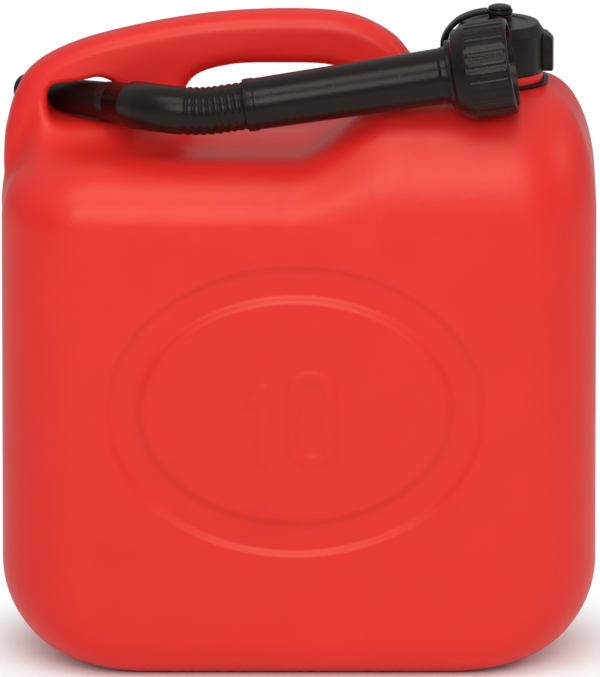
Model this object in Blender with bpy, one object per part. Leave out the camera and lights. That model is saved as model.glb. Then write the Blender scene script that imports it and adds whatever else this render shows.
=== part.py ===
"""A ten-litre fuel can with a screw cap, its tether and a flexible pouring spout."""

import math

import bmesh
import bpy
from mathutils import Matrix, Vector

# Gaps that keep neighbouring pieces apart
SEAT_GAP = 0.0003
RUNNING_GAP = 0.0006
MERGE_DISTANCE = 0.000002
OVERRUN = 0.004

# Tank: a pillow with a low top under the handle and a high plateau round the neck
TANK_WIDTH = 0.308
TANK_DEPTH = 0.140
LOW_TOP = 0.272
PLATEAU_RISE = 0.031
RISE_START_INSET = 0.158
RISE_LENGTH = 0.056
WALL = 0.0020
BASE_CORNER_RADIUS = 0.060
BASE_EDGE_RADIUS = 0.020
PLAN_CORNER_RADIUS = 0.040
LOW_SHOULDER_DEPTH = 0.034
LOW_SHOULDER_HEIGHT = 0.034
HIGH_SHOULDER_DEPTH = 0.0435
HIGH_SHOULDER_HEIGHT = 0.062
SIDE_SHOULDER_WIDTH = 0.029
FACE_CROWN = 0.0025
RIDGE_HEIGHT = 0.009

# Oval groove pressed into the front face
GROOVE_CENTRE_X = -0.002
GROOVE_CENTRE_Z = 0.144
GROOVE_HALF_WIDTH = 0.089
GROOVE_HALF_HEIGHT = 0.068
GROOVE_BAND = 0.020
GROOVE_SLOPE = 0.004
GROOVE_DEPTH = 0.0022

# Handle: a slab at mid-depth with a hand hole and a hole that holds the spout
HANDLE_RISE = 0.0687
HANDLE_BAR = 0.0272
HANDLE_THICKNESS = 0.023
HANDLE_EDGE_RADIUS = 0.0052
LEG_EDGE_INSET = 0.0075
LEG_WIDTH = 0.016
WEB_WIDTH = 0.031
HANDLE_HALF_LENGTH = 0.154
HANDLE_END_INSET = 0.0017
HANDLE_ROOT_REACH = 0.0339
HAND_HOLE_END_INSET = 0.1155
SPOUT_HOLE_BASE = 0.0113
SPOUT_HOLE_HEIGHT = 0.0235

# Neck
NECK_INSET = 0.050
NECK_THREAD_RADIUS = 0.0206
NECK_WALL = 0.0030
NECK_COLLAR_RADIUS = 0.0225
NECK_COLLAR_HEIGHT = 0.0062
NECK_CREST_GAP = 0.0008

# Screw cap
CAP_RADIUS = 0.0232
CAP_HEIGHT = 0.025
CAP_TOP_WALL = 0.0025
CAP_BEVEL_WIDTH = 0.003
CAP_BEVEL_HEIGHT = 0.005
LUG_COUNT = 4
LUG_RADIUS = 0.028
LUG_WIDTH = 0.0132
LUG_DROP = 0.0055
LUG_BEVEL = 0.003
SEAL_THICKNESS = 0.002
STUD_RADIUS = 0.0040
STUD_BOSS_RADIUS = 0.0062
STUD_BOSS_HEIGHT = 0.0042
STUD_HEAD_RADIUS = 0.0060
STUD_HEAD_HEIGHT = 0.0018

# Tether
TETHER_THICKNESS = 0.0022
TETHER_WIDTH = 0.0080
TETHER_RING_WIDTH = 0.0027
TETHER_RING_HEIGHT = 0.0018
EYELET_WIDTH = 0.0024

# Spout: tip through the hole, hose round the bend, barrel and nut beside the neck
STOW_ANGLE = math.radians(52)
STOW_DROOP = math.radians(6)
TIP_REACH = 0.048
TIP_END_RADIUS = 0.0080
TIP_ROOT_RADIUS = 0.0102
PIPE_WALL = 0.0015
HOSE_RADIUS = 0.0125
HOSE_SLAB_GAP = 0.0012
CUFF_LENGTH = 0.010
RIB_COUNT = 9
RIB_PITCH = 0.0037
RIB_DEPTH = 0.0009
BARREL_START_REACH = 0.0830
BARREL_START_Y = -0.048
BARREL_START_RISE = 0.0077
BARREL_START_RADIUS = 0.0138
BARREL_END_RADIUS = 0.0149
FLANGE_THICKNESS = 0.0025
NUT_END_PAST_NECK = 0.0062
NUT_RADIUS = 0.025
NUT_SLEEVE_LENGTH = 0.0222
NUT_SHOULDER_LENGTH = 0.0085
NUT_COLLAR_LENGTH = 0.0025
NUT_WALL = 0.0024
NUT_RIB_COUNT = 30
NUT_RIB_DEPTH = 0.0010
CAP_NUT_GAP = 0.0016
SPOUT_SEAL_WIDTH = 0.0060

# Smoothness of the round forms
ROUND_STEPS = 40
SMALL_ROUND_STEPS = 24
BASE_STEPS = 8
SHOULDER_STEPS = 6
SIDE_STEPS = 3
CORNER_STEPS = 4
LUG_STEPS = 4
HANDLE_STEPS = 3
HANDLE_INSIDE_STEPS = 2
STRAP_STEPS = 3
AXIS_ROUNDS = 6
FACE_STEPS = 20
RIDGE_STEPS = 3
GROOVE_STEPS = 48
HOSE_SIDES_RESOLUTION = 2
ELBOW_STEPS = 8
SHARP_ANGLE = math.radians(35)

# Shares of the handle's own frame: across its half-length, and from low top to handle top
HANDLE_OUTLINE_SHARES = (
    (-0.720, -0.760), (-0.890, -0.560), (-0.965, -0.260), (-0.989, 0.020), (-0.980, 0.160),
    (-0.964, 0.300),
    (-0.940, 0.430), (-0.905, 0.545), (-0.830, 0.668), (-0.700, 0.788), (-0.500, 0.898),
    (-0.300, 0.970), (-0.100, 1.000), (0.070, 0.996), (0.180, 0.962), (0.262, 0.885),
    (0.330, 0.780), (0.378, 0.640), (0.405, 0.530), (0.438, 0.450), (0.455, 0.300),
    (0.440, -0.100), (0.350, -0.480), (0.150, -0.740), (-0.140, -0.800), (-0.440, -0.800),
)
# Between these shares the bar takes up a change of the tank's width; its ends keep their form
HANDLE_STRETCH_SHARES = (-0.5, 0.4)
# Shares of the hand hole's own box, left to right and floor to top
HAND_HOLE_SHARES = (
    (0.000, 0.450), (0.012, 0.700), (0.090, 0.880), (0.270, 0.985), (0.500, 1.000),
    (0.740, 0.985), (0.900, 0.880), (0.985, 0.680), (1.000, 0.430), (0.930, 0.100),
    (0.750, -0.120), (0.200, -0.120), (0.020, 0.100),
)
# Shares of the spout hole's own box, left to right and floor to top
SPOUT_HOLE_SHARES = (
    (0.000, 0.480), (0.025, 0.740), (0.117, 0.851), (0.284, 0.890), (0.466, 0.935),
    (0.596, 0.990), (0.673, 1.000), (0.790, 0.940), (0.905, 0.815), (0.985, 0.620),
    (1.004, 0.400), (0.960, 0.160), (0.850, 0.030), (0.560, 0.000), (0.300, 0.000),
    (0.110, 0.050), (0.025, 0.230),
)
# Shares of the strap's reach from the neck's axis, and of its climb to the eyelet
STRAP_SHARES = (
    (0.830, 0.000), (0.950, 0.010), (1.000, 0.120), (1.000, 0.420), (0.992, 0.560),
    (0.955, 0.680), (0.870, 0.800), (0.720, 0.895), (0.500, 0.965), (0.330, 0.992),
    (0.215, 1.000),
)
# Shares of the nut's shoulder: outwards from its eye, and along it
NUT_DOME_SHARES = ((0.62, 0.22), (0.90, 0.58))
# Shares of one rib's pitch round the nut: where its crest ends and its groove lies
NUT_RIB_SHARES = (0.40, 0.55, 0.85)
# Shares of one rib's pitch along the hose: the groove's floor and the crest
HOSE_GROOVE_SHARE = 0.25
HOSE_CREST_SHARE = 0.75
# Shares of the ribbed stretch at which the hose's bore is bent
BORE_BEND_SHARES = (0.67, 0.33)
# Share of the barrel's axis, from its start, that is kept clear of the shoulder
PIPE_CHECK_SHARE = 0.7
# Largest edge radius of the handle as a share of its leg's width and of its thickness
LEG_EDGE_SHARE = 0.49
SLAB_EDGE_SHARE = 0.45

# Values worked out from the sizes above
HALF_WIDTH = TANK_WIDTH / 2
HALF_DEPTH = TANK_DEPTH / 2
NECK_X = HALF_WIDTH - NECK_INSET
NUT_END_X = NECK_X + NUT_END_PAST_NECK
RISE_START_X = HALF_WIDTH - RISE_START_INSET
PLATEAU_TOP = LOW_TOP + PLATEAU_RISE
HANDLE_TOP = LOW_TOP + HANDLE_RISE
HANDLE_EDGE = min(HANDLE_EDGE_RADIUS, LEG_EDGE_SHARE * LEG_WIDTH,
                  SLAB_EDGE_SHARE * HANDLE_THICKNESS)
HANDLE_CORE = HANDLE_THICKNESS / 2 - HANDLE_EDGE
STOW_ALONG = math.cos(STOW_ANGLE) * math.cos(STOW_DROOP)
STOW_FORWARD = math.sin(STOW_ANGLE) * math.cos(STOW_DROOP)
STOW_DIRECTION = Vector((STOW_ALONG, -STOW_FORWARD, math.sin(STOW_DROOP)))
TIP_CLEARANCE = HANDLE_EDGE + TIP_ROOT_RADIUS + RUNNING_GAP
CORE_SPREAD = HANDLE_CORE * math.cos(STOW_ANGLE)
HOLE_HALF_REACH = (TIP_CLEARANCE + CORE_SPREAD) / math.sin(STOW_ANGLE) - HANDLE_EDGE
SPOUT_HOLE_LEFT = -HALF_WIDTH + LEG_EDGE_INSET + LEG_WIDTH
HOLE_AXIS_X = SPOUT_HOLE_LEFT + HOLE_HALF_REACH
SPOUT_HOLE_RIGHT = HOLE_AXIS_X + HOLE_HALF_REACH
HOSE_FRONT = HANDLE_THICKNESS / 2 + HOSE_SLAB_GAP + HOSE_RADIUS * math.cos(STOW_ANGLE)
HOSE_START = HOSE_FRONT / STOW_FORWARD
SPOUT_HOLE_FLOOR = LOW_TOP + SPOUT_HOLE_BASE
HAND_HOLE_LEFT = SPOUT_HOLE_RIGHT + WEB_WIDTH
HAND_HOLE_LENGTH = HALF_WIDTH - HAND_HOLE_END_INSET - HAND_HOLE_LEFT
BARREL_START_X = HOLE_AXIS_X + BARREL_START_REACH
STOW_HEIGHT = SPOUT_HOLE_FLOOR + TIP_ROOT_RADIUS + SEAT_GAP
STOW_CROSSING = Vector((HOLE_AXIS_X, 0, STOW_HEIGHT))
THREAD_BORE = NECK_THREAD_RADIUS + RUNNING_GAP
COLLAR_TOP = PLATEAU_TOP + NECK_COLLAR_HEIGHT
CAP_BASE = COLLAR_TOP + SEAT_GAP
CAP_TOP = CAP_BASE + CAP_HEIGHT
SEAL_BASE = CAP_TOP - CAP_TOP_WALL - SEAT_GAP - SEAL_THICKNESS
NECK_TOP = SEAL_BASE - SEAT_GAP
NECK_BORE_RADIUS = NECK_THREAD_RADIUS - NECK_WALL
EYELET_BASE = CAP_TOP + STUD_BOSS_HEIGHT + SEAT_GAP
EYELET_BORE = STUD_RADIUS + SEAT_GAP
EYELET_TOP = EYELET_BASE + TETHER_THICKNESS
STUD_NECK_TOP = EYELET_TOP + SEAT_GAP
STUD_TOP = STUD_NECK_TOP + STUD_HEAD_HEIGHT
TETHER_RING_BORE = NECK_COLLAR_RADIUS + SEAT_GAP
TETHER_RING_BASE = PLATEAU_TOP + SEAT_GAP
STRAP_REACH = LUG_RADIUS + RUNNING_GAP + TETHER_THICKNESS / 2
NUT_Y = -(LUG_RADIUS + CAP_NUT_GAP + NUT_RADIUS)
NUT_LENGTH = NUT_SLEEVE_LENGTH + NUT_SHOULDER_LENGTH + NUT_COLLAR_LENGTH
NUT_EYE_RADIUS = BARREL_END_RADIUS + RUNNING_GAP
FLANGE_RADIUS = THREAD_BORE - SEAT_GAP


def clear_scene():
    for old in list(bpy.data.objects):
        bpy.data.objects.remove(old, do_unlink=True)


def material(name, colour, roughness, metallic=0.0):
    made = bpy.data.materials.new(name)
    made.use_nodes = True
    shader = made.node_tree.nodes["Principled BSDF"]
    shader.inputs["Base Color"].default_value = (*colour, 1.0)
    shader.inputs["Roughness"].default_value = roughness
    shader.inputs["Metallic"].default_value = metallic
    return made


def new_object(name, mesh):
    made = bpy.data.objects.new(name, mesh)
    bpy.context.scene.collection.objects.link(made)
    return made


def object_from_bmesh(name, bm):
    """Close the given bmesh, turn its faces outwards and make an object of it."""
    bmesh.ops.remove_doubles(bm, verts=bm.verts, dist=MERGE_DISTANCE)
    bmesh.ops.dissolve_degenerate(bm, edges=bm.edges, dist=MERGE_DISTANCE)
    bmesh.ops.recalc_face_normals(bm, faces=bm.faces)
    if bm.calc_volume(signed=True) < 0:
        bmesh.ops.reverse_faces(bm, faces=bm.faces)
    mesh = bpy.data.meshes.new(name)
    bm.to_mesh(mesh)
    bm.free()
    return new_object(name, mesh)


def evaluated_mesh(source):
    graph = bpy.context.evaluated_depsgraph_get()
    graph.update()
    return bpy.data.meshes.new_from_object(source.evaluated_get(graph))


def combine(body, tool, operation):
    """Join, cut or intersect body with tool, and drop the tool."""
    step = body.modifiers.new(operation.title(), "BOOLEAN")
    step.operation = operation
    step.object = tool
    mesh = evaluated_mesh(body)
    body.modifiers.clear()
    body.data = mesh
    bpy.data.objects.remove(tool, do_unlink=True)
    return body


def finish(body, surface):
    """Give a piece its material and its smooth shading with sharp rims."""
    body.data.materials.clear()
    body.data.materials.append(surface)
    body.data.shade_smooth()
    body.data.set_sharp_from_angle(angle=SHARP_ANGLE)
    return body


def place_origin(body, point):
    """Move a piece's origin to a world point without moving its shape."""
    shift = Vector(point)
    body.data.transform(Matrix.Translation(-shift))
    body.location = shift
    return body


def loft(name, rings):
    """Skin closed rings of equal length; the end rings are closed by pairs, front to back."""
    bm = bmesh.new()
    rows = [[bm.verts.new(point) for point in ring] for ring in rings]
    count = len(rows[0])
    for lower, upper in zip(rows, rows[1:]):
        for i in range(count):
            j = (i + 1) % count
            bm.faces.new((lower[i], lower[j], upper[j], upper[i]))
    for row in (rows[0], rows[-1]):
        half = count // 2
        bm.faces.new((row[0], row[1], row[-1]))
        for i in range(1, half - 1):
            bm.faces.new((row[i], row[i + 1], row[-i - 1], row[-i]))
        bm.faces.new((row[half - 1], row[half], row[half + 1]))
    return object_from_bmesh(name, bm)


def turned(name, profile, steps):
    """Turn a closed outline of (radius, height) points about Z."""
    bm = bmesh.new()
    verts = [bm.verts.new((radius, 0, height)) for radius, height in profile]
    edges = [bm.edges.new((a, b)) for a, b in zip(verts, verts[1:] + verts[:1])]
    bmesh.ops.spin(bm, geom=verts + edges, cent=(0, 0, 0), axis=(0, 0, 1),
                   angle=math.tau, steps=steps, use_merge=True)
    bmesh.ops.remove_doubles(bm, verts=bm.verts, dist=MERGE_DISTANCE)
    flat = [edge for edge in bm.edges if not edge.link_faces]
    bmesh.ops.delete(bm, geom=flat, context="EDGES")
    return object_from_bmesh(name, bm)


def prism(name, outline, low, high, to_point):
    """Extrude a closed outline from low to high; to_point places (u, v, level)."""
    bm = bmesh.new()
    lower = [bm.verts.new(to_point(u, v, low)) for u, v in outline]
    upper = [bm.verts.new(to_point(u, v, high)) for u, v in outline]
    bm.faces.new(lower)
    bm.faces.new(upper)
    count = len(outline)
    for i in range(count):
        j = (i + 1) % count
        bm.faces.new((lower[i], lower[j], upper[j], upper[i]))
    return object_from_bmesh(name, bm)


def smooth_rise(value, start, length):
    """A rise from 0 to 1 over the length, level at both ends."""
    share = min(max((value - start) / length, 0.0), 1.0)
    return share * share * (3 - 2 * share)


def high_share(x):
    return smooth_rise(x, RISE_START_X, RISE_LENGTH)


def between(low, high, share):
    return low + (high - low) * share


def tank_top(x):
    return between(LOW_TOP, PLATEAU_TOP, high_share(x))


def shoulder_depth(x):
    return between(LOW_SHOULDER_DEPTH, HIGH_SHOULDER_DEPTH, high_share(x))


def shoulder_height(x):
    return between(LOW_SHOULDER_HEIGHT, HIGH_SHOULDER_HEIGHT, high_share(x))


def crown(x, z):
    """Outward swell of the broad faces, nothing at their rims."""
    across = max(1 - (x / HALF_WIDTH) ** 2, 0.0)
    up = math.sin(math.pi * min(max(z / LOW_TOP, 0.0), 1.0))
    return FACE_CROWN * across * up


def shoulder_surface(x, y):
    """Height of the tank's shoulder at a point of its plan."""
    depth = shoulder_depth(x)
    run = max(abs(y) - (HALF_DEPTH - depth), 0.0)
    drop = 1 - math.sqrt(max(1 - (run / depth) ** 2, 0.0))
    return tank_top(x) - shoulder_height(x) * drop


def plan_outline(half_width, half_depth, radius):
    """Rounded rectangle in plan: front half from left to right, then the back half."""
    front = [(-half_width, 0.0)]
    for i in range(CORNER_STEPS + 1):
        angle = math.pi / 2 * i / CORNER_STEPS
        front.append((-half_width + radius * (1 - math.cos(angle)),
                      -half_depth + radius * (1 - math.sin(angle))))
    inner = half_width - radius
    for i in range(1, FACE_STEPS):
        front.append((between(-inner, inner, i / FACE_STEPS), -half_depth))
    right = [(-x, y) for x, y in reversed(front[:CORNER_STEPS + 2])]
    front += right
    back = [(x, -y) for x, y in reversed(front[1:-1])]
    return front + back


def tank_form(name, inset):
    """The tank's pillow, drawn in on every side by inset."""
    half_width = HALF_WIDTH - inset
    half_depth = HALF_DEPTH - inset
    corner = BASE_CORNER_RADIUS - inset
    edge = BASE_EDGE_RADIUS - inset
    outline = plan_outline(half_width, half_depth, PLAN_CORNER_RADIUS - inset)
    rings = []

    def arc_inset(radius, height):
        if height >= radius:
            return 0.0
        return radius - math.sqrt(radius * radius - (radius - height) ** 2)

    def ring(inset_x, inset_y, height_at):
        points = []
        for x, y in outline:
            px = x * (half_width - inset_x) / half_width
            py = y * (half_depth - inset_y(px)) / half_depth
            z = height_at(px)
            if abs(y) > 0:
                py += math.copysign(crown(px, z) * abs(py) / half_depth, py)
            points.append((px, py, z))
        rings.append(points)

    for i in range(BASE_STEPS + 1):
        height = corner * (1 - math.cos(math.pi / 2 * i / BASE_STEPS))
        ring(arc_inset(corner, height), lambda x, h=height: arc_inset(edge, h),
             lambda x, h=height: inset + h)
    for i in range(1, SIDE_STEPS + 1):
        def side_height(x, share=i / (SIDE_STEPS + 1)):
            return between(inset + corner, tank_top(x) - shoulder_height(x), share)
        ring(0.0, lambda x: 0.0, side_height)
    for i in range(SHOULDER_STEPS + 1):
        angle = math.pi / 2 * i / SHOULDER_STEPS
        out = 1 - math.cos(angle)
        drop = 1 - math.sin(angle)
        ring((SIDE_SHOULDER_WIDTH - inset) * out,
             lambda x, s=out: (shoulder_depth(x) - inset) * s,
             lambda x, s=drop: tank_top(x) - inset - (shoulder_height(x) - inset) * s)
    crest = rings[-1]
    slab = HANDLE_THICKNESS / 2
    for i in range(1, RIDGE_STEPS + 1):
        share = i / RIDGE_STEPS
        points = []
        for x, y, z in crest:
            target = math.copysign(min(abs(y) / 2, slab), y) if y else 0.0
            ridge = RIDGE_HEIGHT * (1 - smooth_rise(x, SPOUT_HOLE_RIGHT, WEB_WIDTH))
            points.append((x * (1 - share * WALL / SIDE_SHOULDER_WIDTH),
                           between(y, target, share), z + ridge * share * share))
        rings.append(points)
    return loft(name, rings)


def curve_point(a, b, c, d, t):
    """A point between b and c on the smooth curve through a, b, c and d."""
    return (2 * b + (c - a) * t + (2 * a - 5 * b + 4 * c - d) * t ** 2
            + (3 * b - a - 3 * c + d) * t ** 3) / 2


def curve_through(points, steps):
    """Points on a smooth curve that passes through all the given points."""
    ends = [2 * points[0] - points[1]] + list(points) + [2 * points[-1] - points[-2]]
    smooth = []
    for a, b, c, d in zip(ends, ends[1:], ends[2:], ends[3:]):
        smooth += [curve_point(a, b, c, d, i / steps) for i in range(steps)]
    smooth.append(points[-1])
    return smooth


def closed_curve(points, steps):
    """Points on a smooth closed curve that passes through all the given points."""
    count = len(points)
    smooth = []
    for k in range(count):
        a, b, c, d = (points[(k + n) % count] for n in (-1, 0, 1, 2))
        smooth += [curve_point(a, b, c, d, i / steps) for i in range(steps)]
    return smooth


def set_in(outline, distance, is_hole):
    """Shift a closed outline into the material by the distance."""
    area = sum(a.x * b.y - b.x * a.y for a, b in zip(outline, outline[1:] + outline[:1]))
    turn = math.copysign(1.0, area) * (-1 if is_hole else 1)
    shifted = []
    for i, point in enumerate(outline):
        along = outline[(i + 1) % len(outline)] - outline[i - 1]
        shifted.append(point + Vector((-along.y, along.x)).normalized() * distance * turn)
    return shifted


def handle_x(share):
    """Place of an outline point, kept to the tank's end, to the neck or between them."""
    first, last = HANDLE_STRETCH_SHARES
    shares = [x for x, _ in HANDLE_OUTLINE_SHARES]
    from_end = HANDLE_END_INSET - HALF_WIDTH + (share - min(shares)) * HANDLE_HALF_LENGTH
    from_neck = NECK_X - HANDLE_ROOT_REACH + (share - max(shares)) * HANDLE_HALF_LENGTH
    lean = min(max((share - first) / (last - first), 0.0), 1.0)
    return between(from_end, from_neck, lean)


def handle_outlines(steps):
    """The slab's outer edge, its hand hole and its spout hole, as (x, z) outlines."""
    hand_height = HANDLE_RISE - HANDLE_BAR
    outer = [Vector((handle_x(x), LOW_TOP + z * HANDLE_RISE)) for x, z in HANDLE_OUTLINE_SHARES]
    hand = [Vector((HAND_HOLE_LEFT + x * HAND_HOLE_LENGTH, LOW_TOP + z * hand_height))
            for x, z in HAND_HOLE_SHARES]
    spout = [Vector((between(SPOUT_HOLE_LEFT, SPOUT_HOLE_RIGHT, x),
                     SPOUT_HOLE_FLOOR + z * SPOUT_HOLE_HEIGHT)) for x, z in SPOUT_HOLE_SHARES]
    return ((closed_curve(outer, steps), False), (closed_curve(hand, steps), True),
            (closed_curve(spout, 1), True))


def handle_form(name, inset, steps):
    """The slab with its two holes and rounded edges, drawn in on every side by inset."""
    radius = HANDLE_EDGE - inset
    layers = []
    for side in (-1, 1):
        for i in range(steps + 1):
            angle = math.pi / 2 * (steps - i if side < 0 else i) / steps
            layers.append((side * (HANDLE_CORE + radius * math.sin(angle)),
                           HANDLE_EDGE - radius * math.cos(angle)))
    bm = bmesh.new()
    rims = ([], [])
    for outline, is_hole in handle_outlines(steps):
        rows = [[bm.verts.new((p.x, y, p.y)) for p in set_in(outline, distance, is_hole)]
                for y, distance in layers]
        for this, following in zip(rows, rows[1:]):
            for i in range(len(this)):
                bm.faces.new((this[i - 1], this[i], following[i], following[i - 1]))
        for rim, row in zip(rims, (rows[0], rows[-1])):
            rim += [bm.edges.get((a, b)) for a, b in zip(row, row[1:] + row[:1])]
    for rim in rims:
        bmesh.ops.triangle_fill(bm, edges=rim, use_beauty=True, normal=(0, 1, 0))
    return object_from_bmesh(name, bm)


def groove_form(name, inset):
    """Oval band that follows the front face, sunk to the groove's depth below it."""
    mid_width = GROOVE_BAND / 2
    reach = mid_width + inset
    floor = max(reach - GROOVE_SLOPE, GROOVE_SLOPE / 2)
    depth = GROOVE_DEPTH + inset
    above = OVERRUN
    lip = reach + above * GROOVE_SLOPE / GROOVE_DEPTH
    section = ((-lip, -above), (-floor, depth), (floor, depth), (lip, -above))
    bm = bmesh.new()
    rows = []
    for i in range(GROOVE_STEPS):
        angle = math.tau * i / GROOVE_STEPS
        row = []
        for across, sunk in section:
            x = GROOVE_CENTRE_X + (GROOVE_HALF_WIDTH + across) * math.cos(angle)
            z = GROOVE_CENTRE_Z + (GROOVE_HALF_HEIGHT + across) * math.sin(angle)
            row.append(bm.verts.new((x, -HALF_DEPTH - crown(x, z) + sunk, z)))
        rows.append(row)
    for i in range(GROOVE_STEPS):
        this, following = rows[i], rows[(i + 1) % GROOVE_STEPS]
        for k in range(len(section)):
            n = (k + 1) % len(section)
            bm.faces.new((this[k], this[n], following[n], following[k]))
    return object_from_bmesh(name, bm)


def neck_form(name, inset):
    """The neck's collar and threaded spigot; with an inset, its open bore."""
    root = PLATEAU_TOP - WALL - OVERRUN
    if inset > 0:
        profile = ((0, root), (NECK_BORE_RADIUS, root),
                   (NECK_BORE_RADIUS, NECK_TOP + OVERRUN), (0, NECK_TOP + OVERRUN))
    else:
        collar = COLLAR_TOP
        edge = NECK_CREST_GAP
        profile = ((0, root), (NECK_COLLAR_RADIUS, root),
                   (NECK_COLLAR_RADIUS, collar - edge), (NECK_COLLAR_RADIUS - edge, collar),
                   (NECK_THREAD_RADIUS, collar), (NECK_THREAD_RADIUS, NECK_TOP - edge),
                   (NECK_THREAD_RADIUS - edge, NECK_TOP), (0, NECK_TOP))
    neck = turned(name, profile, ROUND_STEPS)
    neck.data.transform(Matrix.Translation((NECK_X, 0, 0)))
    return neck


def can_form(name, inset):
    """Tank, handle and neck joined, all drawn in by inset, with the oval groove sunk in."""
    form = tank_form(name, inset)
    handle_steps = HANDLE_INSIDE_STEPS if inset else HANDLE_STEPS
    combine(form, handle_form(name + "_handle", inset, handle_steps), "UNION")
    combine(form, neck_form(name + "_neck", inset), "UNION")
    combine(form, groove_form(name + "_groove", inset), "DIFFERENCE")
    return form


def build_can(surface):
    body = can_form("can_body", 0.0)
    combine(body, can_form("can_inside", WALL), "DIFFERENCE")
    return finish(body, surface)


def lug(name, angle):
    """One grip lug: a wedge of the cap's side with a sloped top."""
    inner = (CAP_RADIUS + THREAD_BORE) / 2
    half_angle = math.asin(LUG_WIDTH / 2 / LUG_RADIUS)
    top = CAP_TOP - LUG_DROP
    bm = bmesh.new()
    rows = []
    for i in range(LUG_STEPS + 1):
        turn = angle + between(-half_angle, half_angle, i / LUG_STEPS)
        section = ((inner, CAP_BASE), (LUG_RADIUS, CAP_BASE), (LUG_RADIUS, top - LUG_BEVEL),
                   (LUG_RADIUS - LUG_BEVEL, top), (inner, top))
        rows.append([bm.verts.new((radius * math.cos(turn), radius * math.sin(turn), z))
                     for radius, z in section])
    for this, following in zip(rows, rows[1:]):
        for k in range(len(this)):
            n = (k + 1) % len(this)
            bm.faces.new((this[k], this[n], following[n], following[k]))
    bm.faces.new(rows[0])
    bm.faces.new(rows[-1])
    return object_from_bmesh(name, bm)


def build_cap(surface):
    inner_top = CAP_TOP - CAP_TOP_WALL
    rim = CAP_RADIUS - CAP_BEVEL_WIDTH
    profile = ((0, inner_top), (THREAD_BORE, inner_top), (THREAD_BORE, CAP_BASE),
               (CAP_RADIUS, CAP_BASE), (CAP_RADIUS, CAP_TOP - CAP_BEVEL_HEIGHT),
               (rim, CAP_TOP), (STUD_BOSS_RADIUS, CAP_TOP),
               (STUD_BOSS_RADIUS, CAP_TOP + STUD_BOSS_HEIGHT),
               (STUD_RADIUS, CAP_TOP + STUD_BOSS_HEIGHT), (STUD_RADIUS, STUD_NECK_TOP),
               (STUD_HEAD_RADIUS, STUD_NECK_TOP),
               (STUD_HEAD_RADIUS, STUD_NECK_TOP + STUD_HEAD_HEIGHT / 2),
               (STUD_RADIUS, STUD_TOP), (0, STUD_TOP))
    cap = turned("screw_cap", profile, ROUND_STEPS)
    for i in range(LUG_COUNT):
        combine(cap, lug("lug", math.tau * i / LUG_COUNT), "UNION")
    cap.location = (NECK_X, 0, 0)
    return finish(cap, surface)


def build_cap_seal(surface):
    radius = THREAD_BORE - SEAT_GAP
    profile = ((0, SEAL_BASE), (radius, SEAL_BASE), (radius, SEAL_BASE + SEAL_THICKNESS),
               (0, SEAL_BASE + SEAL_THICKNESS))
    seal = turned("cap_seal", profile, ROUND_STEPS)
    seal.location = (NECK_X, 0, 0)
    return finish(seal, surface)


def strap_form(name):
    """The strap: a flat ribbon from the neck ring, round the cap and up to the eyelet."""
    low = TETHER_RING_BASE + TETHER_RING_HEIGHT / 2
    high = EYELET_BASE + TETHER_THICKNESS / 2
    route = [Vector((-reach * STRAP_REACH, between(low, high, climb)))
             for reach, climb in STRAP_SHARES]
    centre = curve_through(route, STRAP_STEPS)
    half = TETHER_THICKNESS / 2 - MERGE_DISTANCE
    outer = []
    inner = []
    for i, point in enumerate(centre):
        ahead = centre[min(i + 1, len(centre) - 1)] - centre[max(i - 1, 0)]
        side = Vector((-ahead.y, ahead.x)).normalized() * half
        outer.append(point + side)
        inner.append(point - side)
    outline = [(p.x, p.y) for p in outer + inner[::-1]]
    half_width = TETHER_WIDTH / 2
    return prism(name, outline, -half_width, half_width, lambda u, v, level: (u, level, v))


def ring_form(name, bore, radius, base, height, steps):
    profile = ((bore, base), (radius, base), (radius, base + height), (bore, base + height))
    return turned(name, profile, steps)


def build_tether(surface):
    tether = ring_form("cap_tether", TETHER_RING_BORE, TETHER_RING_BORE + TETHER_RING_WIDTH,
                       TETHER_RING_BASE, TETHER_RING_HEIGHT, ROUND_STEPS)
    combine(tether, strap_form("strap"), "UNION")
    combine(tether, ring_form("eyelet", EYELET_BORE, EYELET_BORE + EYELET_WIDTH,
                              EYELET_BASE, TETHER_THICKNESS, SMALL_ROUND_STEPS), "UNION")
    tether.location = (NECK_X, 0, 0)
    return finish(tether, surface)


def stow_point(distance):
    """A point of the tip's axis, measured from the hole towards the hose."""
    return STOW_CROSSING + STOW_DIRECTION * distance


def nut_axis_height(slope, span):
    """Height of the barrel's axis at the nut's open end, with the nut on the shoulder."""
    height = 0.0
    for i in range(SMALL_ROUND_STEPS):
        back = span * i / (SMALL_ROUND_STEPS - 1)
        for k in range(ROUND_STEPS):
            dy = NUT_RADIUS * math.cos(math.pi * k / (ROUND_STEPS - 1))
            surface = shoulder_surface(NUT_END_X - back, NUT_Y + dy)
            over = math.sqrt(max(NUT_RADIUS ** 2 - dy * dy, 0.0))
            height = max(height, surface + over + slope * back)
    return height + SEAT_GAP


def barrel_start_height(end_height):
    """Height of the barrel's start, with its pipe clear of the shoulder all along."""
    height = STOW_HEIGHT + BARREL_START_RISE
    for i in range(SMALL_ROUND_STEPS):
        share = PIPE_CHECK_SHARE * i / SMALL_ROUND_STEPS
        x = between(BARREL_START_X, NUT_END_X, share)
        y = between(BARREL_START_Y, NUT_Y, share)
        for k in range(ROUND_STEPS):
            dy = BARREL_END_RADIUS * math.cos(math.pi * k / (ROUND_STEPS - 1))
            over = math.sqrt(max(BARREL_END_RADIUS ** 2 - dy * dy, 0.0))
            needed = shoulder_surface(x, y + dy) + over + RUNNING_GAP
            height = max(height, (needed - share * end_height) / (1 - share))
    return height


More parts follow.
